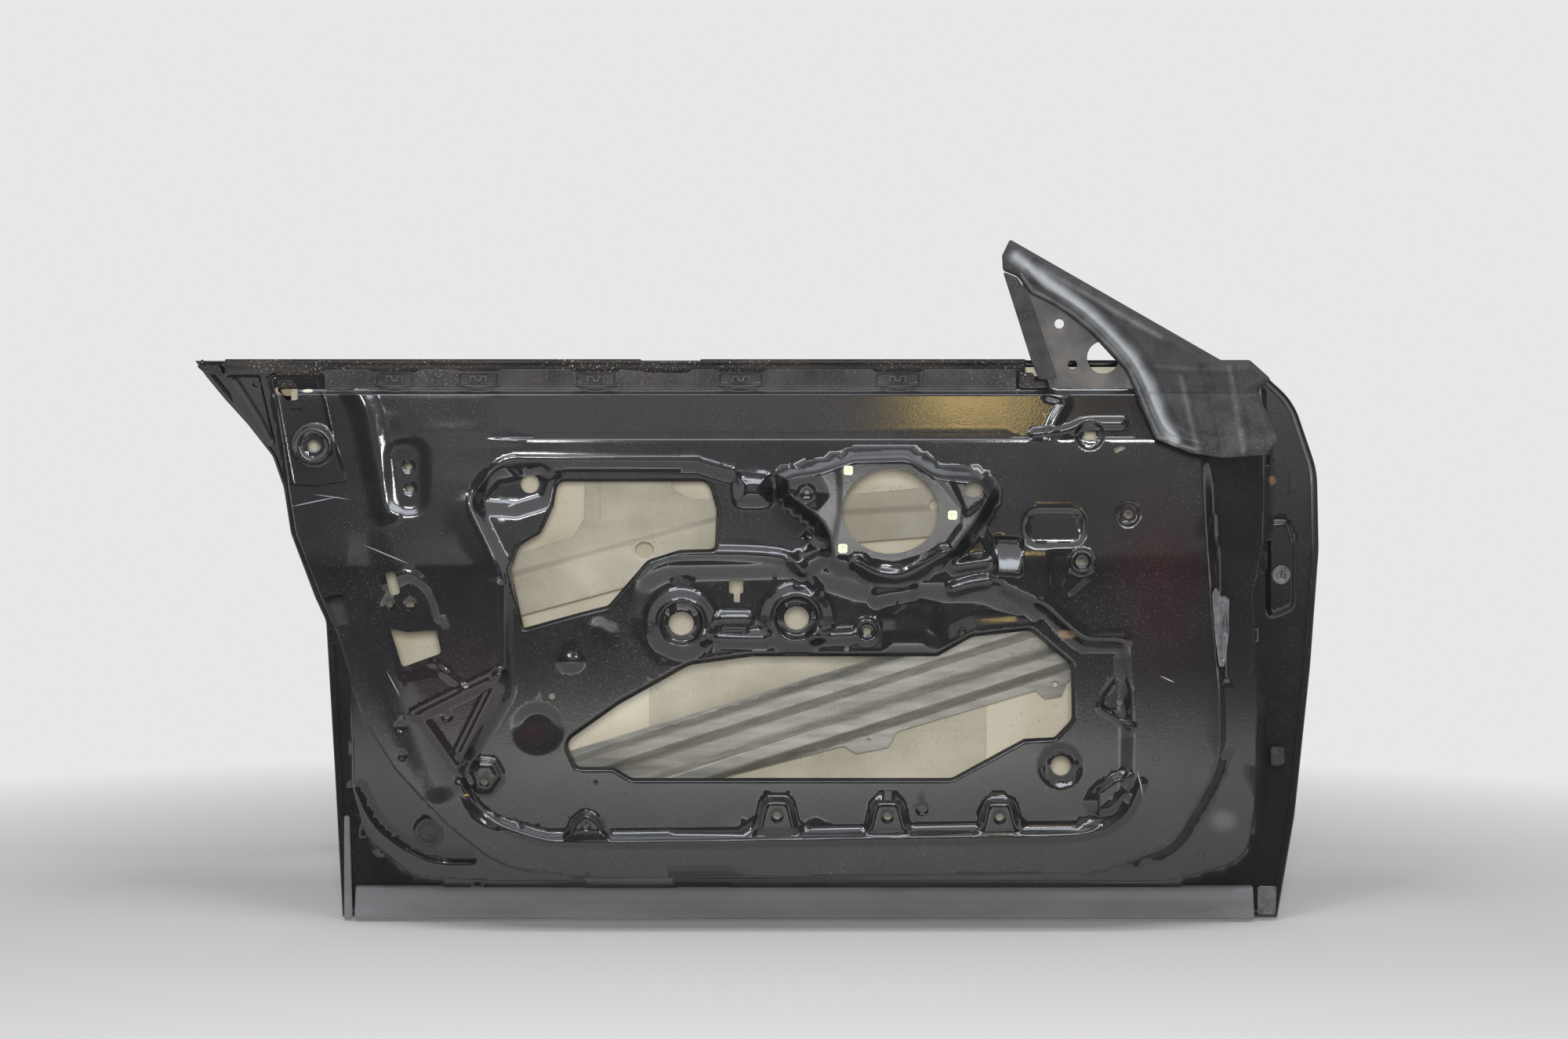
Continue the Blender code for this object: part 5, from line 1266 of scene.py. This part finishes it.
@dataclass
class WaistRail:
    """Belt strips: the reinforcement on the skin's side, the rail with its pockets, clips and end pieces."""

    shell: Shell
    box_height: float = 0.007
    pocket: float = 0.004
    rows: tuple[float, float] = (475.5, 491.5)
    pockets: Sequence[tuple[float, float]] = ((480, 527), (585, 635), (735, 785), (917, 973), (1117, 1173))
    reinforcement: Sequence[tuple[float, float, float]] = (
        (287, 458, 1), (817, 458, 1), (819, 461, 1), (892, 461, 1), (894, 458, 1), (1308, 458, 1),
        (1308, 496, 1), (352, 496, 1), (352, 476, 1), (287, 476, 1))
    tip: Sequence[tuple[float, float, float]] = ((251, 467, 1), (258, 464, 1), (279, 464, 1), (285, 478, 1),
                                                 (262, 477, 1))
    rail: Sequence[tuple[float, float, float]] = (
        (413, 472, 2), (465, 471, 3), (478, 475, 3), (530, 475, 3), (536, 471, 3), (582, 471, 3),
        (588, 474, 3), (634, 474, 3), (640, 471, 3), (728, 471, 3), (735, 475, 3), (786, 475, 3),
        (792, 471, 3), (832, 476, 3), (876, 476, 3), (884, 471, 3), (912, 471, 3), (918, 475, 3),
        (974, 475, 3), (980, 471, 3), (1112, 471, 3), (1118, 475, 3), (1174, 475, 3), (1180, 471, 3),
        (1296, 471, 3), (1296, 497, 1), (415, 497, 1))
    end_block: Sequence[tuple[float, float, float]] = (
        (1300, 475, 3), (1318, 475, 3), (1320, 486, 2), (1333, 486, 2), (1335, 495, 3), (1300, 495, 3))

    def build(self, finishes: Finishes) -> None:
        """Makes the strips and the clips.

        Args: finishes: the materials.
        """
        paint = finishes.get(Finish.WAIST)
        far = above(self.shell.lip, SEAT)
        top = with_shapes(above(far, self.box_height), (
            Bead(((287, 466), (1308, 466)), 4, -0.001), Bead(((360, 486), (1308, 486)), 3, 0.0008)))
        mount(plate("belt_reinforcement", self.reinforcement, top, far, paint), "black_paint",
              "waist_outer_reinforcement")
        mount(plate("belt_tip", self.tip, above(far, self.box_height), far, paint), "black_paint",
              "waist_tip")
        back = self.shell.waist - SEAT
        foot, shapes = self.rows[1], []
        for left, right in self.pockets:
            frame_line = ((left - 3, 470), (left - 3, foot + 2), (right + 3, foot + 2), (right + 3, 470))
            shapes += [Bead(frame_line, 4, 0.0020),
                       Press(box(left, right, self.rows[0], foot, 3), 2.5, self.pocket)]
        face = with_shapes(at(back - self.pocket - self.shell.inner_sheet), [
            *shapes, Bead(((416, 494), (1294, 494)), 3, -0.001)])
        mount(plate("belt_rail", self.rail, face, above(face, -self.shell.inner_sheet),
                    finishes.get(Finish.RAIL), step=1.0), "black_paint", "waist_inner_rail")
        mount(plate("belt_end_block", self.end_block, at(back - 0.006), at(back), paint), "black_paint",
              "rail_end_block")
        middle = sum(self.rows) / 2
        clip = back - self.shell.inner_sheet - SEAT
        for number, (left, right) in enumerate(self.pockets, start=1):
            u = (left + right) / 2
            shape = ((-10, 3.5), (-10, -3.5), (-4, -3.5), (-3, 2.0), (3, 2.0), (4, -3.5), (10, -3.5),
                     (10, 3.5))
            path = [spot(u + du, middle + dv, clip - 0.0022) for du, dv in shape]
            strip = SweptStrip(f"spring_clip_{number}", 0.0004, 0.0018)
            mount(strip.build([np.array(path)], finishes.get(Finish.SPRING)), "spring_steel",
                  f"rail_clip_{number}")


@dataclass
class MirrorCorner:
    """Plate under the mirror's foot, the window's front post and the rubber moulding over both."""

    shell: Shell
    sheet: float = 0.0015
    post_height: float = 0.011
    edge: float = 0.006
    crown: float = 0.016
    skirt: float = 0.010
    holes: Sequence[tuple[float, float, float]] = ((1351, 413, 6), (1368, 465, 6), (1407, 456, 20.5))
    outline: Sequence[tuple[float, float, float]] = (
        (1288, 305, 3), (1557, 459, 4), (1594, 459, 6), (1622, 484, 4), (1603, 497, 4), (1622, 541, 10),
        (1630, 562, 10), (1614, 580, 10), (1560, 584, 20), (1520, 578, 16), (1474, 560, 8), (1451, 508, 40),
        (1436, 474, 40), (1390, 424, 60), (1350, 393, 30), (1313, 374, 10), (1298, 353, 6), (1279, 345, 3),
        (1278, 326, 3))
    inner_edge: Sequence[tuple[float, float]] = (
        (1298, 353), (1313, 374), (1337, 386), (1366, 404), (1390, 424), (1414, 448), (1436, 474),
        (1448, 500), (1460, 530), (1474, 560), (1498, 570), (1522, 577))
    crest: Sequence[tuple[float, float]] = (
        (1296, 328), (1340, 362), (1382, 392), (1416, 424), (1446, 458), (1466, 492), (1480, 530),
        (1498, 562))

    def build(self, finishes: Finishes) -> None:
        """Makes the three pieces.

        Args: finishes: the materials.
        """
        far = self.shell.waist - SEAT
        near = far - self.sheet
        shapes = [Press(ellipse(u, v, radius * 2.1, radius * 2.1), 4, 0.0009)
                  for u, v, radius in self.holes[:2]]
        shapes += [Bead(((1360, 484), (1366, 500)), 2.5, -0.0012),
                   Bead(((1330, 404), (1352, 482)), 3, -0.0006),
                   Press(box(1424, 1441, 479, 505, 3), 3, 0.001)]
        corners = ((1300, 345, 8), (1340, 350, 20), (1440, 410, 60), (1540, 466, 30), (1596, 468, 6),
                   (1600, 497, 3), (1340, 497, 3), (1322, 440, 20))
        holes = [ellipse(u, v, radius, radius) for u, v, radius in self.holes]
        mount(plate("mirror_foot_plate", corners, with_shapes(at(near), shapes), at(far),
                    finishes.get(Finish.DUSTY), holes), "black_paint", "mirror_bracket")
        post = ((1279, 346, 2), (1298, 354, 2), (1315, 382, 8), (1349, 483, 3), (1325, 484, 3),
                (1314, 456, 4))
        top = with_shapes(at(near - SEAT - self.post_height), (
            Bead(((1306, 400), (1330, 393)), 2, -0.0012), Bead(((1302, 372), (1337, 482)), 4, 0.0008)))
        mount(plate("window_post_channel", post, top, at(near - SEAT), finishes.get(Finish.RUBBER), edge=2,
                    drop=0.001), "black_paint", "window_post")
        outline = rounded(self.outline)

        def back(u: Array, v: Array) -> Array:
            """Depth of the face that the moulding lies on."""
            return np.minimum(self.shell.face(v), near) - SEAT

        mount(Relief("mirror_corner_moulding", outline, self.moulding(outline, back), back, edge=3.0,
                     wear=self.worn).build(finishes.get(Finish.RUBBER)), "rubber", "mirror_seal")

    def moulding(self, outline: Array, back: Field) -> Field:
        """Outer surface of the rubber: rounded edge, two beads, a valley, the crest and soft folds.

        Args: outline: points. back: what the rubber lies on.
        Returns: the surface.
        """
        edge = np.array(self.inner_edge)
        shapes = [Bead(edge + (4, -3), 5, 0.0026), Bead(edge + (9, -7), 3.5, -0.0022),
                  Bead(edge + (14, -11), 5, 0.0022), Bead(edge + (24, -18), 9, -0.0035),
                  Bead(self.crest, 12, 0.0036),
                  Bead(((1330, 345), (1400, 384), (1480, 430), (1530, 462)), 9, 0.002),
                  Bead(((1290, 312), (1420, 388), (1556, 466)), 6, -0.0012),
                  Bead(((1506, 480), (1516, 530), (1530, 578)), 12, 0.003),
                  Bead(((1536, 470), (1552, 530), (1560, 580)), 9, -0.003),
                  Bead(((1568, 466), (1584, 520), (1590, 578)), 10, 0.0028),
                  Bead(((1596, 500), (1612, 545), (1618, 570)), 7, -0.002),
                  Bead(((1470, 470), (1540, 474), (1600, 472)), 7, 0.0022)]

        def near(u: Array, v: Array) -> Array:
            """The moulding's face, thinner at its skirt.

            Args: u, v: pixels.
            Returns: metres for each.
            """
            inside = -off_edge(outline, u, v, 26)
            full = self.crown - (self.crown - self.skirt) * smooth((v - 500) / 50)
            round_edge = np.sqrt(1 - (1 - np.clip(inside / 12, 0, 1)) ** 2)
            depth = back(u, v) - self.edge - (full - self.edge) * round_edge
            fade = smooth(inside / 8)
            for shape in shapes:
                depth = depth + (shape.add(u, v, depth) - depth) * fade
            return depth
        return near

    def worn(self, u: Array, v: Array) -> Array:
        """How much each place is rubbed pale."""
        folds = ((self.crest, 16, 1.0), (((1330, 345), (1400, 384), (1480, 430)), 8, 0.5),
                 (np.array(self.inner_edge) + (4, -3), 4, 0.6), (((1568, 470), (1586, 575)), 8, 0.4),
                 (((1506, 480), (1528, 575)), 8, 0.4))
        return np.max([level * smooth(1 - off_line(line, u, v, half + 1) / half)
                       for line, half, level in folds], axis=0)


@dataclass
class Cavity:
    """What shows through the openings: brace, corrugated beam, damping sheet and the hidden brackets."""

    shell: Shell
    beam_depth: float = 0.086
    wave: float = 0.018
    beam_sheet: float = 0.0018
    crease: float = 0.008
    beam_axis: tuple[tuple[float, float], tuple[float, float]] = ((640, 984), (1400, 740))
    beam_width: float = 112
    fold_shares: Sequence[float] = (0.08, 0.17, 0.32, 0.41, 0.58, 0.67, 0.82, 0.91)
    folds: Sequence[float] = (0, 1, 1, 0, 0, 1, 1, 0)

    def build(self, finishes: Finishes) -> None:
        """Makes the pieces and gives the hidden ones their finish.

        Args: finishes: the materials.
        """
        shell = self.shell
        plane = float(shell.lip(np.float64(746), np.float64(464))) - 0.007 - shell.inner_sheet - 2 * SEAT
        line = ((596, 745), (654, 727), (912, 657), (1290, 636))

        def brace(u: Array, v: Array) -> Array:
            """The brace, nearer below its crease."""
            row = np.interp(u, [item[0] for item in line], [item[1] for item in line])
            return plane - self.crease * smooth((v - row) / 11)

        corners = ((596, 722, 4), (659, 706, 12), (731, 685, 10), (746, 660, 10), (746, 480, 3),
                   (854, 480, 3), (857, 622, 14), (880, 637, 12), (1087, 630, 40),
                   (1290, 612, 4), (1290, 676, 4),
                   (1098, 691, 40), (930, 713, 40), (790, 751, 20), (600, 802, 4))
        shapes = [Press(ellipse(822, 701, 17, 15), 4, 0.0012), Bead(((768, 480), (768, 660)), 5, 0.0015),
                  Bead(((832, 480), (832, 640)), 5, 0.0015)]
        mount(plate("belt_brace_sheet", corners, with_shapes(brace, shapes),
                    above(with_shapes(brace, shapes), -shell.inner_sheet), finishes.get(Finish.BRACE),
                    [ellipse(822, 701, 12, 10), ellipse(1191, 644, 6, 7, 14)]), "primer", "belt_brace")
        (u0, v0), (u1, v1) = self.beam_axis
        slope = (v1 - v0) / (u1 - u0)
        shares = np.linspace(-0.3, 1.3, 400)
        waves = averaged(np.interp(shares, self.fold_shares, self.folds), 17)

        def beam(u: Array, v: Array) -> Array:
            """The waves across the beam's width."""
            share = (v - v0 - slope * (u - u0)) / self.beam_width
            return self.beam_depth + self.wave * (1 - np.interp(share, shares, waves))

        outline = rounded(((640, 984, 2), (1400, 752, 2), (1440, 752, 2), (1440, 846, 4), (1362, 868, 5),
                           (1354, 888, 5), (1332, 891, 4), (1322, 880, 5), (1143, 933, 6), (1133, 953, 6),
                           (1091, 961, 6), (1076, 951, 5), (690, 1052, 2), (640, 1052, 2)))
        mount(Relief("corrugated_beam", outline, beam, above(beam, -self.beam_sheet),
                     [ellipse(1108, 944, 3, 3, 14), ellipse(1346, 872, 4, 4, 14)], step=2.0).build(
                         finishes.get(Finish.BEAM)), "bare_steel", "impact_beam")
        back = above(shell.skin, shell.outer_sheet + SEAT)
        creases = with_shapes(above(back, 0.002), (
            Bead(((828, 930), (1258, 930)), 3, 0.0008),
            Bead(((900, 740), (930, 860), (918, 1040)), 3, 0.0006),
            Bead(((1100, 760), (1080, 900), (1120, 1040)), 3, 0.0006),
            Bead(((828, 860), (1000, 872), (1258, 852)), 3, 0.0005)))
        mount(plate("damping_sheet_pad", ((828, 740, 6), (1258, 740, 6), (1258, 1040, 6), (828, 1040, 6)),
                    creases, back, finishes.get(Finish.DAMPING)), "damping_foil", "damping_pad")
        dress(finishes.get(Finish.BEAM), "beam_rear_bracket", "beam_front_bracket")
        dress(finishes.get(Finish.STEEL), "upper_hinge_plate", "lower_hinge_plate")
        dress(finishes.get(Finish.PAINT), "latch_bracket")


def dress(finish: bpy.types.Material, *nodes: str) -> None:
    """Gives CAD nodes that stay their finish."""
    for node in nodes:
        for place_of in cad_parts[node].material_slots:
            place_of.material = finish
        log.info("%s: kept and dressed", node)


@dataclass
class CornerPlates:
    """Plates welded on the panel's corners and on its front flange."""

    shell: Shell
    sheet: float = 0.0012
    boss: tuple[float, float] = (400, 568)
    boss_radius: float = 29
    boss_rise: float = 0.009
    check_depth: float = 0.004

    def build(self, finishes: Finishes) -> None:
        """Makes the plates.

        Args: finishes: the materials.
        """
        shell, paint = self.shell, finishes.get(Finish.PAINT)
        seat = above(shell.lip, SEAT)
        gusset = ((288, 479, 2), (330, 479, 2), (350, 566, 6), (343, 571, 4), (316, 537, 30), (298, 515, 20))
        mount(plate("rear_gusset", gusset, with_shapes(above(seat, self.sheet), (
            Bead(((300, 484), (330, 530), (346, 562)), 5, 0.0004),)), seat, paint,
            [ellipse(327, 490, 5, 4, 14)]), "black_paint", "rear_corner_gusset")
        corners = ((347, 481, 3), (404, 481, 3), (416, 507, 14), (425, 550, 20), (444, 613, 5), (400, 620, 6),
                   (369, 618, 4), (362, 572, 20))
        shapes = [Press(ellipse(*self.boss, self.boss_radius, self.boss_radius), 10, -self.boss_rise),
                  Press(ellipse(*self.boss, 17, 17), 5, 0.002),
                  Bead(((406, 484), (416, 510), (424, 548), (440, 596)), 5, 0.002),
                  Bead(((350, 484), (366, 575), (374, 616)), 3, 0.001)]
        back = with_shapes(above(shell.panel, SEAT), [shapes[0]])
        holes = [rounded(((370, 521, 2), (386, 521, 2), (386, 533, 2), (370, 533, 2)), 1.5), LIP_WINDOW,
                 ellipse(*self.boss, 9.5, 9.5), ellipse(392, 496, 6, 4, 14)]
        mount(plate("latch_face_plate", corners, with_shapes(above(shell.panel, SEAT + self.sheet), shapes),
                    back, paint, holes), "black_paint", "latch_reinforcement")
        small = ((1337, 702, 4), (1360, 702, 6), (1360, 736, 6), (1353, 757, 6), (1340, 750, 4))
        seat_panel = above(shell.panel, SEAT)
        mount(plate("small_bracket_plate", small, above(seat_panel, self.sheet), seat_panel, paint,
                    [ellipse(1343, 725, 4, 4, 14), ellipse(1345, 743, 4, 4, 14)]), "black_paint",
              "small_bracket")
        flange = above(shell.panel, shell.hem)
        strip = rounded(((1619.5, 586, 1), (1625.5, 586, 1), (1625.5, 654, 1), (1619.5, 658, 1)))
        mount(plate("flange_strip", strip, above(flange, self.sheet), flange, paint), "black_paint",
              "front_flange_strip")
        corner = ((1604, 1130, 2), (1628, 1130, 2), (1627, 1166, 2), (1604, 1166, 2))
        mount(plate("corner_plate", corner, with_shapes(above(seat, self.sheet), (
            Bead(((1612, 1132), (1612, 1164)), 3, 0.0008),)), seat, finishes.get(Finish.STEEL)), "dull_steel",
            "front_corner_plate")
        check = ((1546, 757, 2), (1551, 747, 3), (1558, 762, 3), (1562, 759, 2), (1568, 765, 2),
                 (1567, 812, 4), (1562, 850, 4), (1555, 850, 2), (1550, 812, 4))
        mount(plate("check_strap_plate", check, with_shapes(at(self.check_depth), (
            Bead(((1560, 768), (1560, 840)), 4, -0.002), Press(ellipse(1563, 795, 4, 16), 3, 0.004))),
            seat_panel, finishes.get(Finish.STEEL)), "dull_steel", "check_strap_bracket")


@dataclass
class SmallPieces:
    """Clips, plug, screw, buffer, spot-weld marks and nuts."""

    shell: Shell
    clips: Sequence[tuple[float, float]] = ((1082, 600), (1215, 657), (1075, 699.5))
    clip_half: float = 6.0
    clip_rise: float = 0.0025
    plug: tuple[float, float] = (547, 1061)
    screw: tuple[float, float] = (1634, 733)
    welds: Sequence[tuple[float, float]] = (
        (1451, 604), (1455, 689), (1461, 761), (1467, 830), (1469, 900), (1475, 966), (1532, 1091),
        (556, 732), (555, 853), (460, 669), (467, 704), (446, 558), (457, 595), (926, 655), (988, 735))

    def build(self, finishes: Finishes) -> None:
        """Makes the pieces.

        Args: finishes: the materials.
        """
        shell = self.shell
        seat = above(shell.panel, SEAT)
        for number, (u, v) in enumerate(self.clips, start=1):
            half = self.clip_half
            top = with_shapes(above(seat, self.clip_rise), (
                Press(box(u - 3.5, u + 3.5, v - 3, v + 3, 1), 1.5, 0.0012),
                Bead(((u - 2, v - 1), (u + 2, v + 1)), 1.2, 0.001)))
            outline = box(u - half, u + half, v - half, v + half, 2)
            mount(plate(f"speaker_nut_clip_{number}", outline, top, seat, finishes.get(Finish.NYLON),
                        edge=1.2, step=0.5), "cream_plastic", f"speaker_clip_{number}")
        u, v = self.plug
        socket = np.stack([u + 6.5 * np.cos(np.arange(6) * math.pi / 3 + 0.4),
                           v + 6.5 * np.sin(np.arange(6) * math.pi / 3 + 0.4)], axis=1)
        mount(plate("corner_blanking_plug", ellipse(u, v, 18, 18, 48), with_shapes(above(seat, 0.0032), (
            Press(ellipse(u, v, 13.5, 13.5), 2.5, 0.0018), Press(socket, 1.5, 0.0008),
            Press(ellipse(u, v, 9.5, 9.5), 1.2, -0.0006))), seat, finishes.get(Finish.RUBBER), edge=3,
            drop=0.0016, step=0.6), "rubber", "corner_plug")
        u, v = self.screw
        flange = above(shell.panel, shell.hem)
        mount(plate("flange_screw_head", ellipse(u, v, 12, 12, 40), with_shapes(above(flange, 0.0038), (
            Press(ellipse(u, v, 7, 7), 3, 0.0016), Bead(((u - 4, v), (u + 4, v)), 1.6, -0.001),
            Bead(((u, v - 4), (u, v + 4)), 1.6, -0.001))), flange, finishes.get(Finish.STEEL), edge=3.5,
            drop=0.002, step=0.6), "dull_steel", "flange_screw")
        buffer = ((1619, 952, 4), (1638, 952, 4), (1639, 975, 5), (1620, 978, 5))
        mount(plate("edge_rubber_buffer", buffer, with_shapes(above(shell.panel, 0.016), (
            Bead(((1621, 958), (1637, 958)), 3, -0.001),)), flange, finishes.get(Finish.RUBBER), edge=5,
            drop=0.006, step=1.0), "rubber", "edge_buffer")
        dress(finishes.get(Finish.STEEL), *[f"weld_nut_{number}" for number in (1, 2, 3, 4)])
        self.weld_marks(finishes)

    def weld_marks(self, finishes: Finishes) -> None:
        """Makes the rings that spot welds leave in the paint.

        Args: finishes: the materials.
        """
        u, v = np.array(self.welds).T
        points, facing = Relief.shaded(self.shell.panel, u, v, 3.0)
        mount(WeldMarks("spot_weld_marks", 0.0042, 0.00045).build(points, facing, finishes.get(Finish.PAINT)),
              "black_paint")


@dataclass
class Seals:
    """Sponge strip along the sill and the short seal at the rear edge."""

    shell: Shell
    rear_height: float = 0.004

    def build(self, finishes: Finishes) -> None:
        """Makes the two seals.

        Args: finishes: the materials.
        """
        seat = above(self.shell.lip, SEAT)
        rows = (1129, 1131, 1136, 1142, 1149, 1154, 1160, 1166, 1172)
        heights = np.array((0.004, 0.0085, 0.0125, 0.013, 0.0115, 0.0085, 0.0095, 0.011, 0.0105))
        fine = np.arange(1126, 1176, 0.5)
        profile = averaged(np.interp(fine, rows, heights), 11)

        def near(u: Array, v: Array) -> Array:
            """The strip's face with its slight waves.

            Args: u, v: pixels.
            Returns: metres for each.
            """
            wave = 0.0005 * np.sin(u / 47) + 0.0004 * np.sin(u / 19 + 1)
            fold = 0.0025 * smooth((573 - u) / 30) * smooth((1160 - v) / 20)
            return seat(u, v) - np.interp(v, fine, profile) + (wave + fold) * smooth((v - 1131) / 6)

        strip = ((454, 1129, 3), (1598, 1129, 3), (1600, 1172, 3), (452, 1172, 3))
        mount(plate("sill_sponge_strip", strip, near, seat, finishes.get(Finish.STRIP), edge=3, drop=0.002),
              "rubber", "sill_seal")
        rear = ((439, 1040, 2), (446, 1040, 2), (450, 1172, 2), (439, 1172, 2))
        mount(plate("rear_edge_strip", rear, above(seat, self.rear_height), seat, finishes.get(Finish.STRIP),
                    edge=3, drop=0.002), "rubber", "rear_edge_seal")


@dataclass
class Studio:
    """Pale floor, plain soft light and the camera at the photograph's place."""

    focal: float = 53.45
    floor: str = "#e2e1de"
    background: str = "#e7e7e9"

    def build(self) -> None:
        """Makes the stage, the lights and the camera."""
        self.lay_floor()
        self.light_world()
        self.hang_lamps()
        camera = bpy.data.cameras.new("camera")
        camera.lens = self.focal
        camera.sensor_width = 36
        view = bpy.data.objects.new("camera", camera)
        view.location = (SHIFT[0], SHIFT[1] - VIEW, SHIFT[2])
        view.rotation_euler = (math.radians(90), 0, 0)
        bpy.context.scene.collection.objects.link(view)
        bpy.context.scene.camera = view
        bpy.context.scene.view_settings.view_transform = "Standard"

    def lay_floor(self) -> None:
        """Floor that passes into the background colour away from the door."""
        material = bpy.data.materials.new("studio_floor")
        material.use_nodes = True
        graph = material.node_tree
        shader = graph.nodes["Principled BSDF"]
        shader.inputs["Base Color"].default_value = linear(self.floor)
        shader.inputs["Roughness"].default_value = 0.9
        where = add_node(graph, "ShaderNodeTexCoord").outputs["Object"]
        span = add_node(graph, "ShaderNodeVectorMath", {"operation": "LENGTH"}, {0: where}).outputs["Value"]
        far = add_node(graph, "ShaderNodeMapRange", {"From Min": 0.95, "From Max": 2.2},
                       {"Value": span}).outputs[0]
        ray = add_node(graph, "ShaderNodeLightPath").outputs["Is Camera Ray"]
        share = add_node(graph, "ShaderNodeMath", {"operation": "MULTIPLY"}, {0: far, 1: ray}).outputs[0]
        glow = add_node(graph, "ShaderNodeEmission", {"Color": linear(self.background)}).outputs[0]
        mixed = add_node(graph, "ShaderNodeMixShader",
                         links={0: share, 1: shader.outputs[0], 2: glow}).outputs[0]
        graph.links.new(mixed, graph.nodes["Material Output"].inputs["Surface"])
        mesh = bpy.data.meshes.new("studio_floor")
        turns = np.arange(64) * math.pi / 32
        rim = np.stack([12 * np.cos(turns), 12 * np.sin(turns), np.full(64, -0.001)], axis=1)
        mesh.from_pydata(rim.tolist(), [], [list(range(64))])
        mesh.materials.append(material)
        floor = bpy.data.objects.new("studio_floor", mesh)
        bpy.context.scene.collection.objects.link(floor)

    def light_world(self) -> None:
        """World: the background for the camera and for reflections, a plain level for diffuse light."""
        world = bpy.data.worlds.new("studio")
        world.use_nodes = True
        graph = world.node_tree
        ray = add_node(graph, "ShaderNodeLightPath")
        seen = add_node(graph, "ShaderNodeMath", {"operation": "MAXIMUM"},
                        {0: ray.outputs["Is Camera Ray"], 1: ray.outputs["Is Glossy Ray"]}).outputs[0]
        seen = add_node(graph, "ShaderNodeMath", {"operation": "MAXIMUM"},
                        {0: seen, 1: ray.outputs["Is Transmission Ray"]}).outputs[0]
        strength = add_node(graph, "ShaderNodeMapRange", {"To Min": 0.3, "To Max": 1.0}, {"Value": seen})
        ground = graph.nodes["Background"]
        ground.inputs["Color"].default_value = linear(self.background)
        graph.links.new(strength.outputs[0], ground.inputs["Strength"])
        bpy.context.scene.world = world

    def hang_lamps(self) -> None:
        """Lamps: one beside the camera, a soft box and tubes overhead; and the cards that reflections see."""
        # Name, place, goal, width, height, watts, colour, and whether reflections see it
        lamps = (("front", (0.03, -3.0, 0.62), (0.03, 0, 0.45), 0.30, 0.30, 66, "#ffffff", False),
                 ("ceiling", (0.1, -1.1, 2.8), (0.1, -0.2, 0.3), 2.6, 0.5, 26, "#eef5ff", True),
                 ("glint_left", (-0.75, -1.9, 2.7), (-0.2, 0, 0.4), 0.5, 0.22, 9, "#ffffff", True),
                 ("glint_right", (0.85, -1.9, 2.7), (0.3, 0, 0.4), 0.5, 0.22, 9, "#ffffff", True),
                 ("left", (-2.2, -2.2, 1.4), (0, 0, 0.5), 1.2, 1.2, 8, "#ffffff", False),
                 ("right", (2.4, -2.0, 1.4), (0, 0, 0.5), 1.2, 1.2, 8, "#ffffff", False))
        for name, place_of, goal, across, down, power, colour, glossy in lamps:
            lamp = bpy.data.lights.new(name, "AREA")
            lamp.shape, lamp.size, lamp.size_y = "RECTANGLE", across, down
            lamp.energy, lamp.color = power, linear(colour)[:3]
            hung = bpy.data.objects.new(name, lamp)
            hung.location = place_of
            hung.rotation_euler = (Vector(goal) - Vector(place_of)).to_track_quat("-Z", "Y").to_euler()
            hung.visible_glossy = glossy
            bpy.context.scene.collection.objects.link(hung)
        self.card("dark_card", (-12, 12, 0.0, 10.0), -4.4, "#37373b")
        self.card("pale_card", (-1.3, 0.35, 1.9, 3.9), -4.38, "#e6eaf2", 0.6)
        self.card("gold_card", (0.47, 0.90, 3.22, 3.50), -4.35, "#b9a064", 17.0)

    @staticmethod
    def card(name: str, extent: tuple[float, float, float, float], y: float, colour: str,
             strength: float = 1.0) -> None:
        """Upright card that only reflections see: a dark side of the room, a pale one or a warm one.

        Args: extent: left, right, low and high. y: its place. strength: of its glow.
        """
        left, right, low, high = extent
        mesh = bpy.data.meshes.new(name)
        corners = [(left, y, low), (right, y, low), (right, y, high), (left, y, high)]
        mesh.from_pydata(corners, [], [(0, 1, 2, 3)])
        material = bpy.data.materials.new(name)
        material.use_nodes = True
        graph = material.node_tree
        glow = add_node(graph, "ShaderNodeEmission",
                        {"Color": linear(colour), "Strength": strength}).outputs[0]
        graph.links.new(glow, graph.nodes["Material Output"].inputs["Surface"])
        mesh.materials.append(material)
        card = bpy.data.objects.new(name, mesh)
        bpy.context.scene.collection.objects.link(card)
        for kind in ("camera", "diffuse", "shadow", "transmission", "volume_scatter"):
            setattr(card, f"visible_{kind}", False)


def main() -> None:
    """Builds the door and its studio."""
    logging.basicConfig(level=logging.INFO, format="%(message)s")
    shell, finishes = Shell(), Finishes()
    for part in (InnerPanel(shell), OuterSkin(shell), WaistRail(shell), MirrorCorner(shell), Cavity(shell),
                 CornerPlates(shell), SmallPieces(shell), Seals(shell)):
        part.build(finishes)
    Studio().build()
    bpy.context.view_layer.update()


if __name__ == "__main__":
    main()
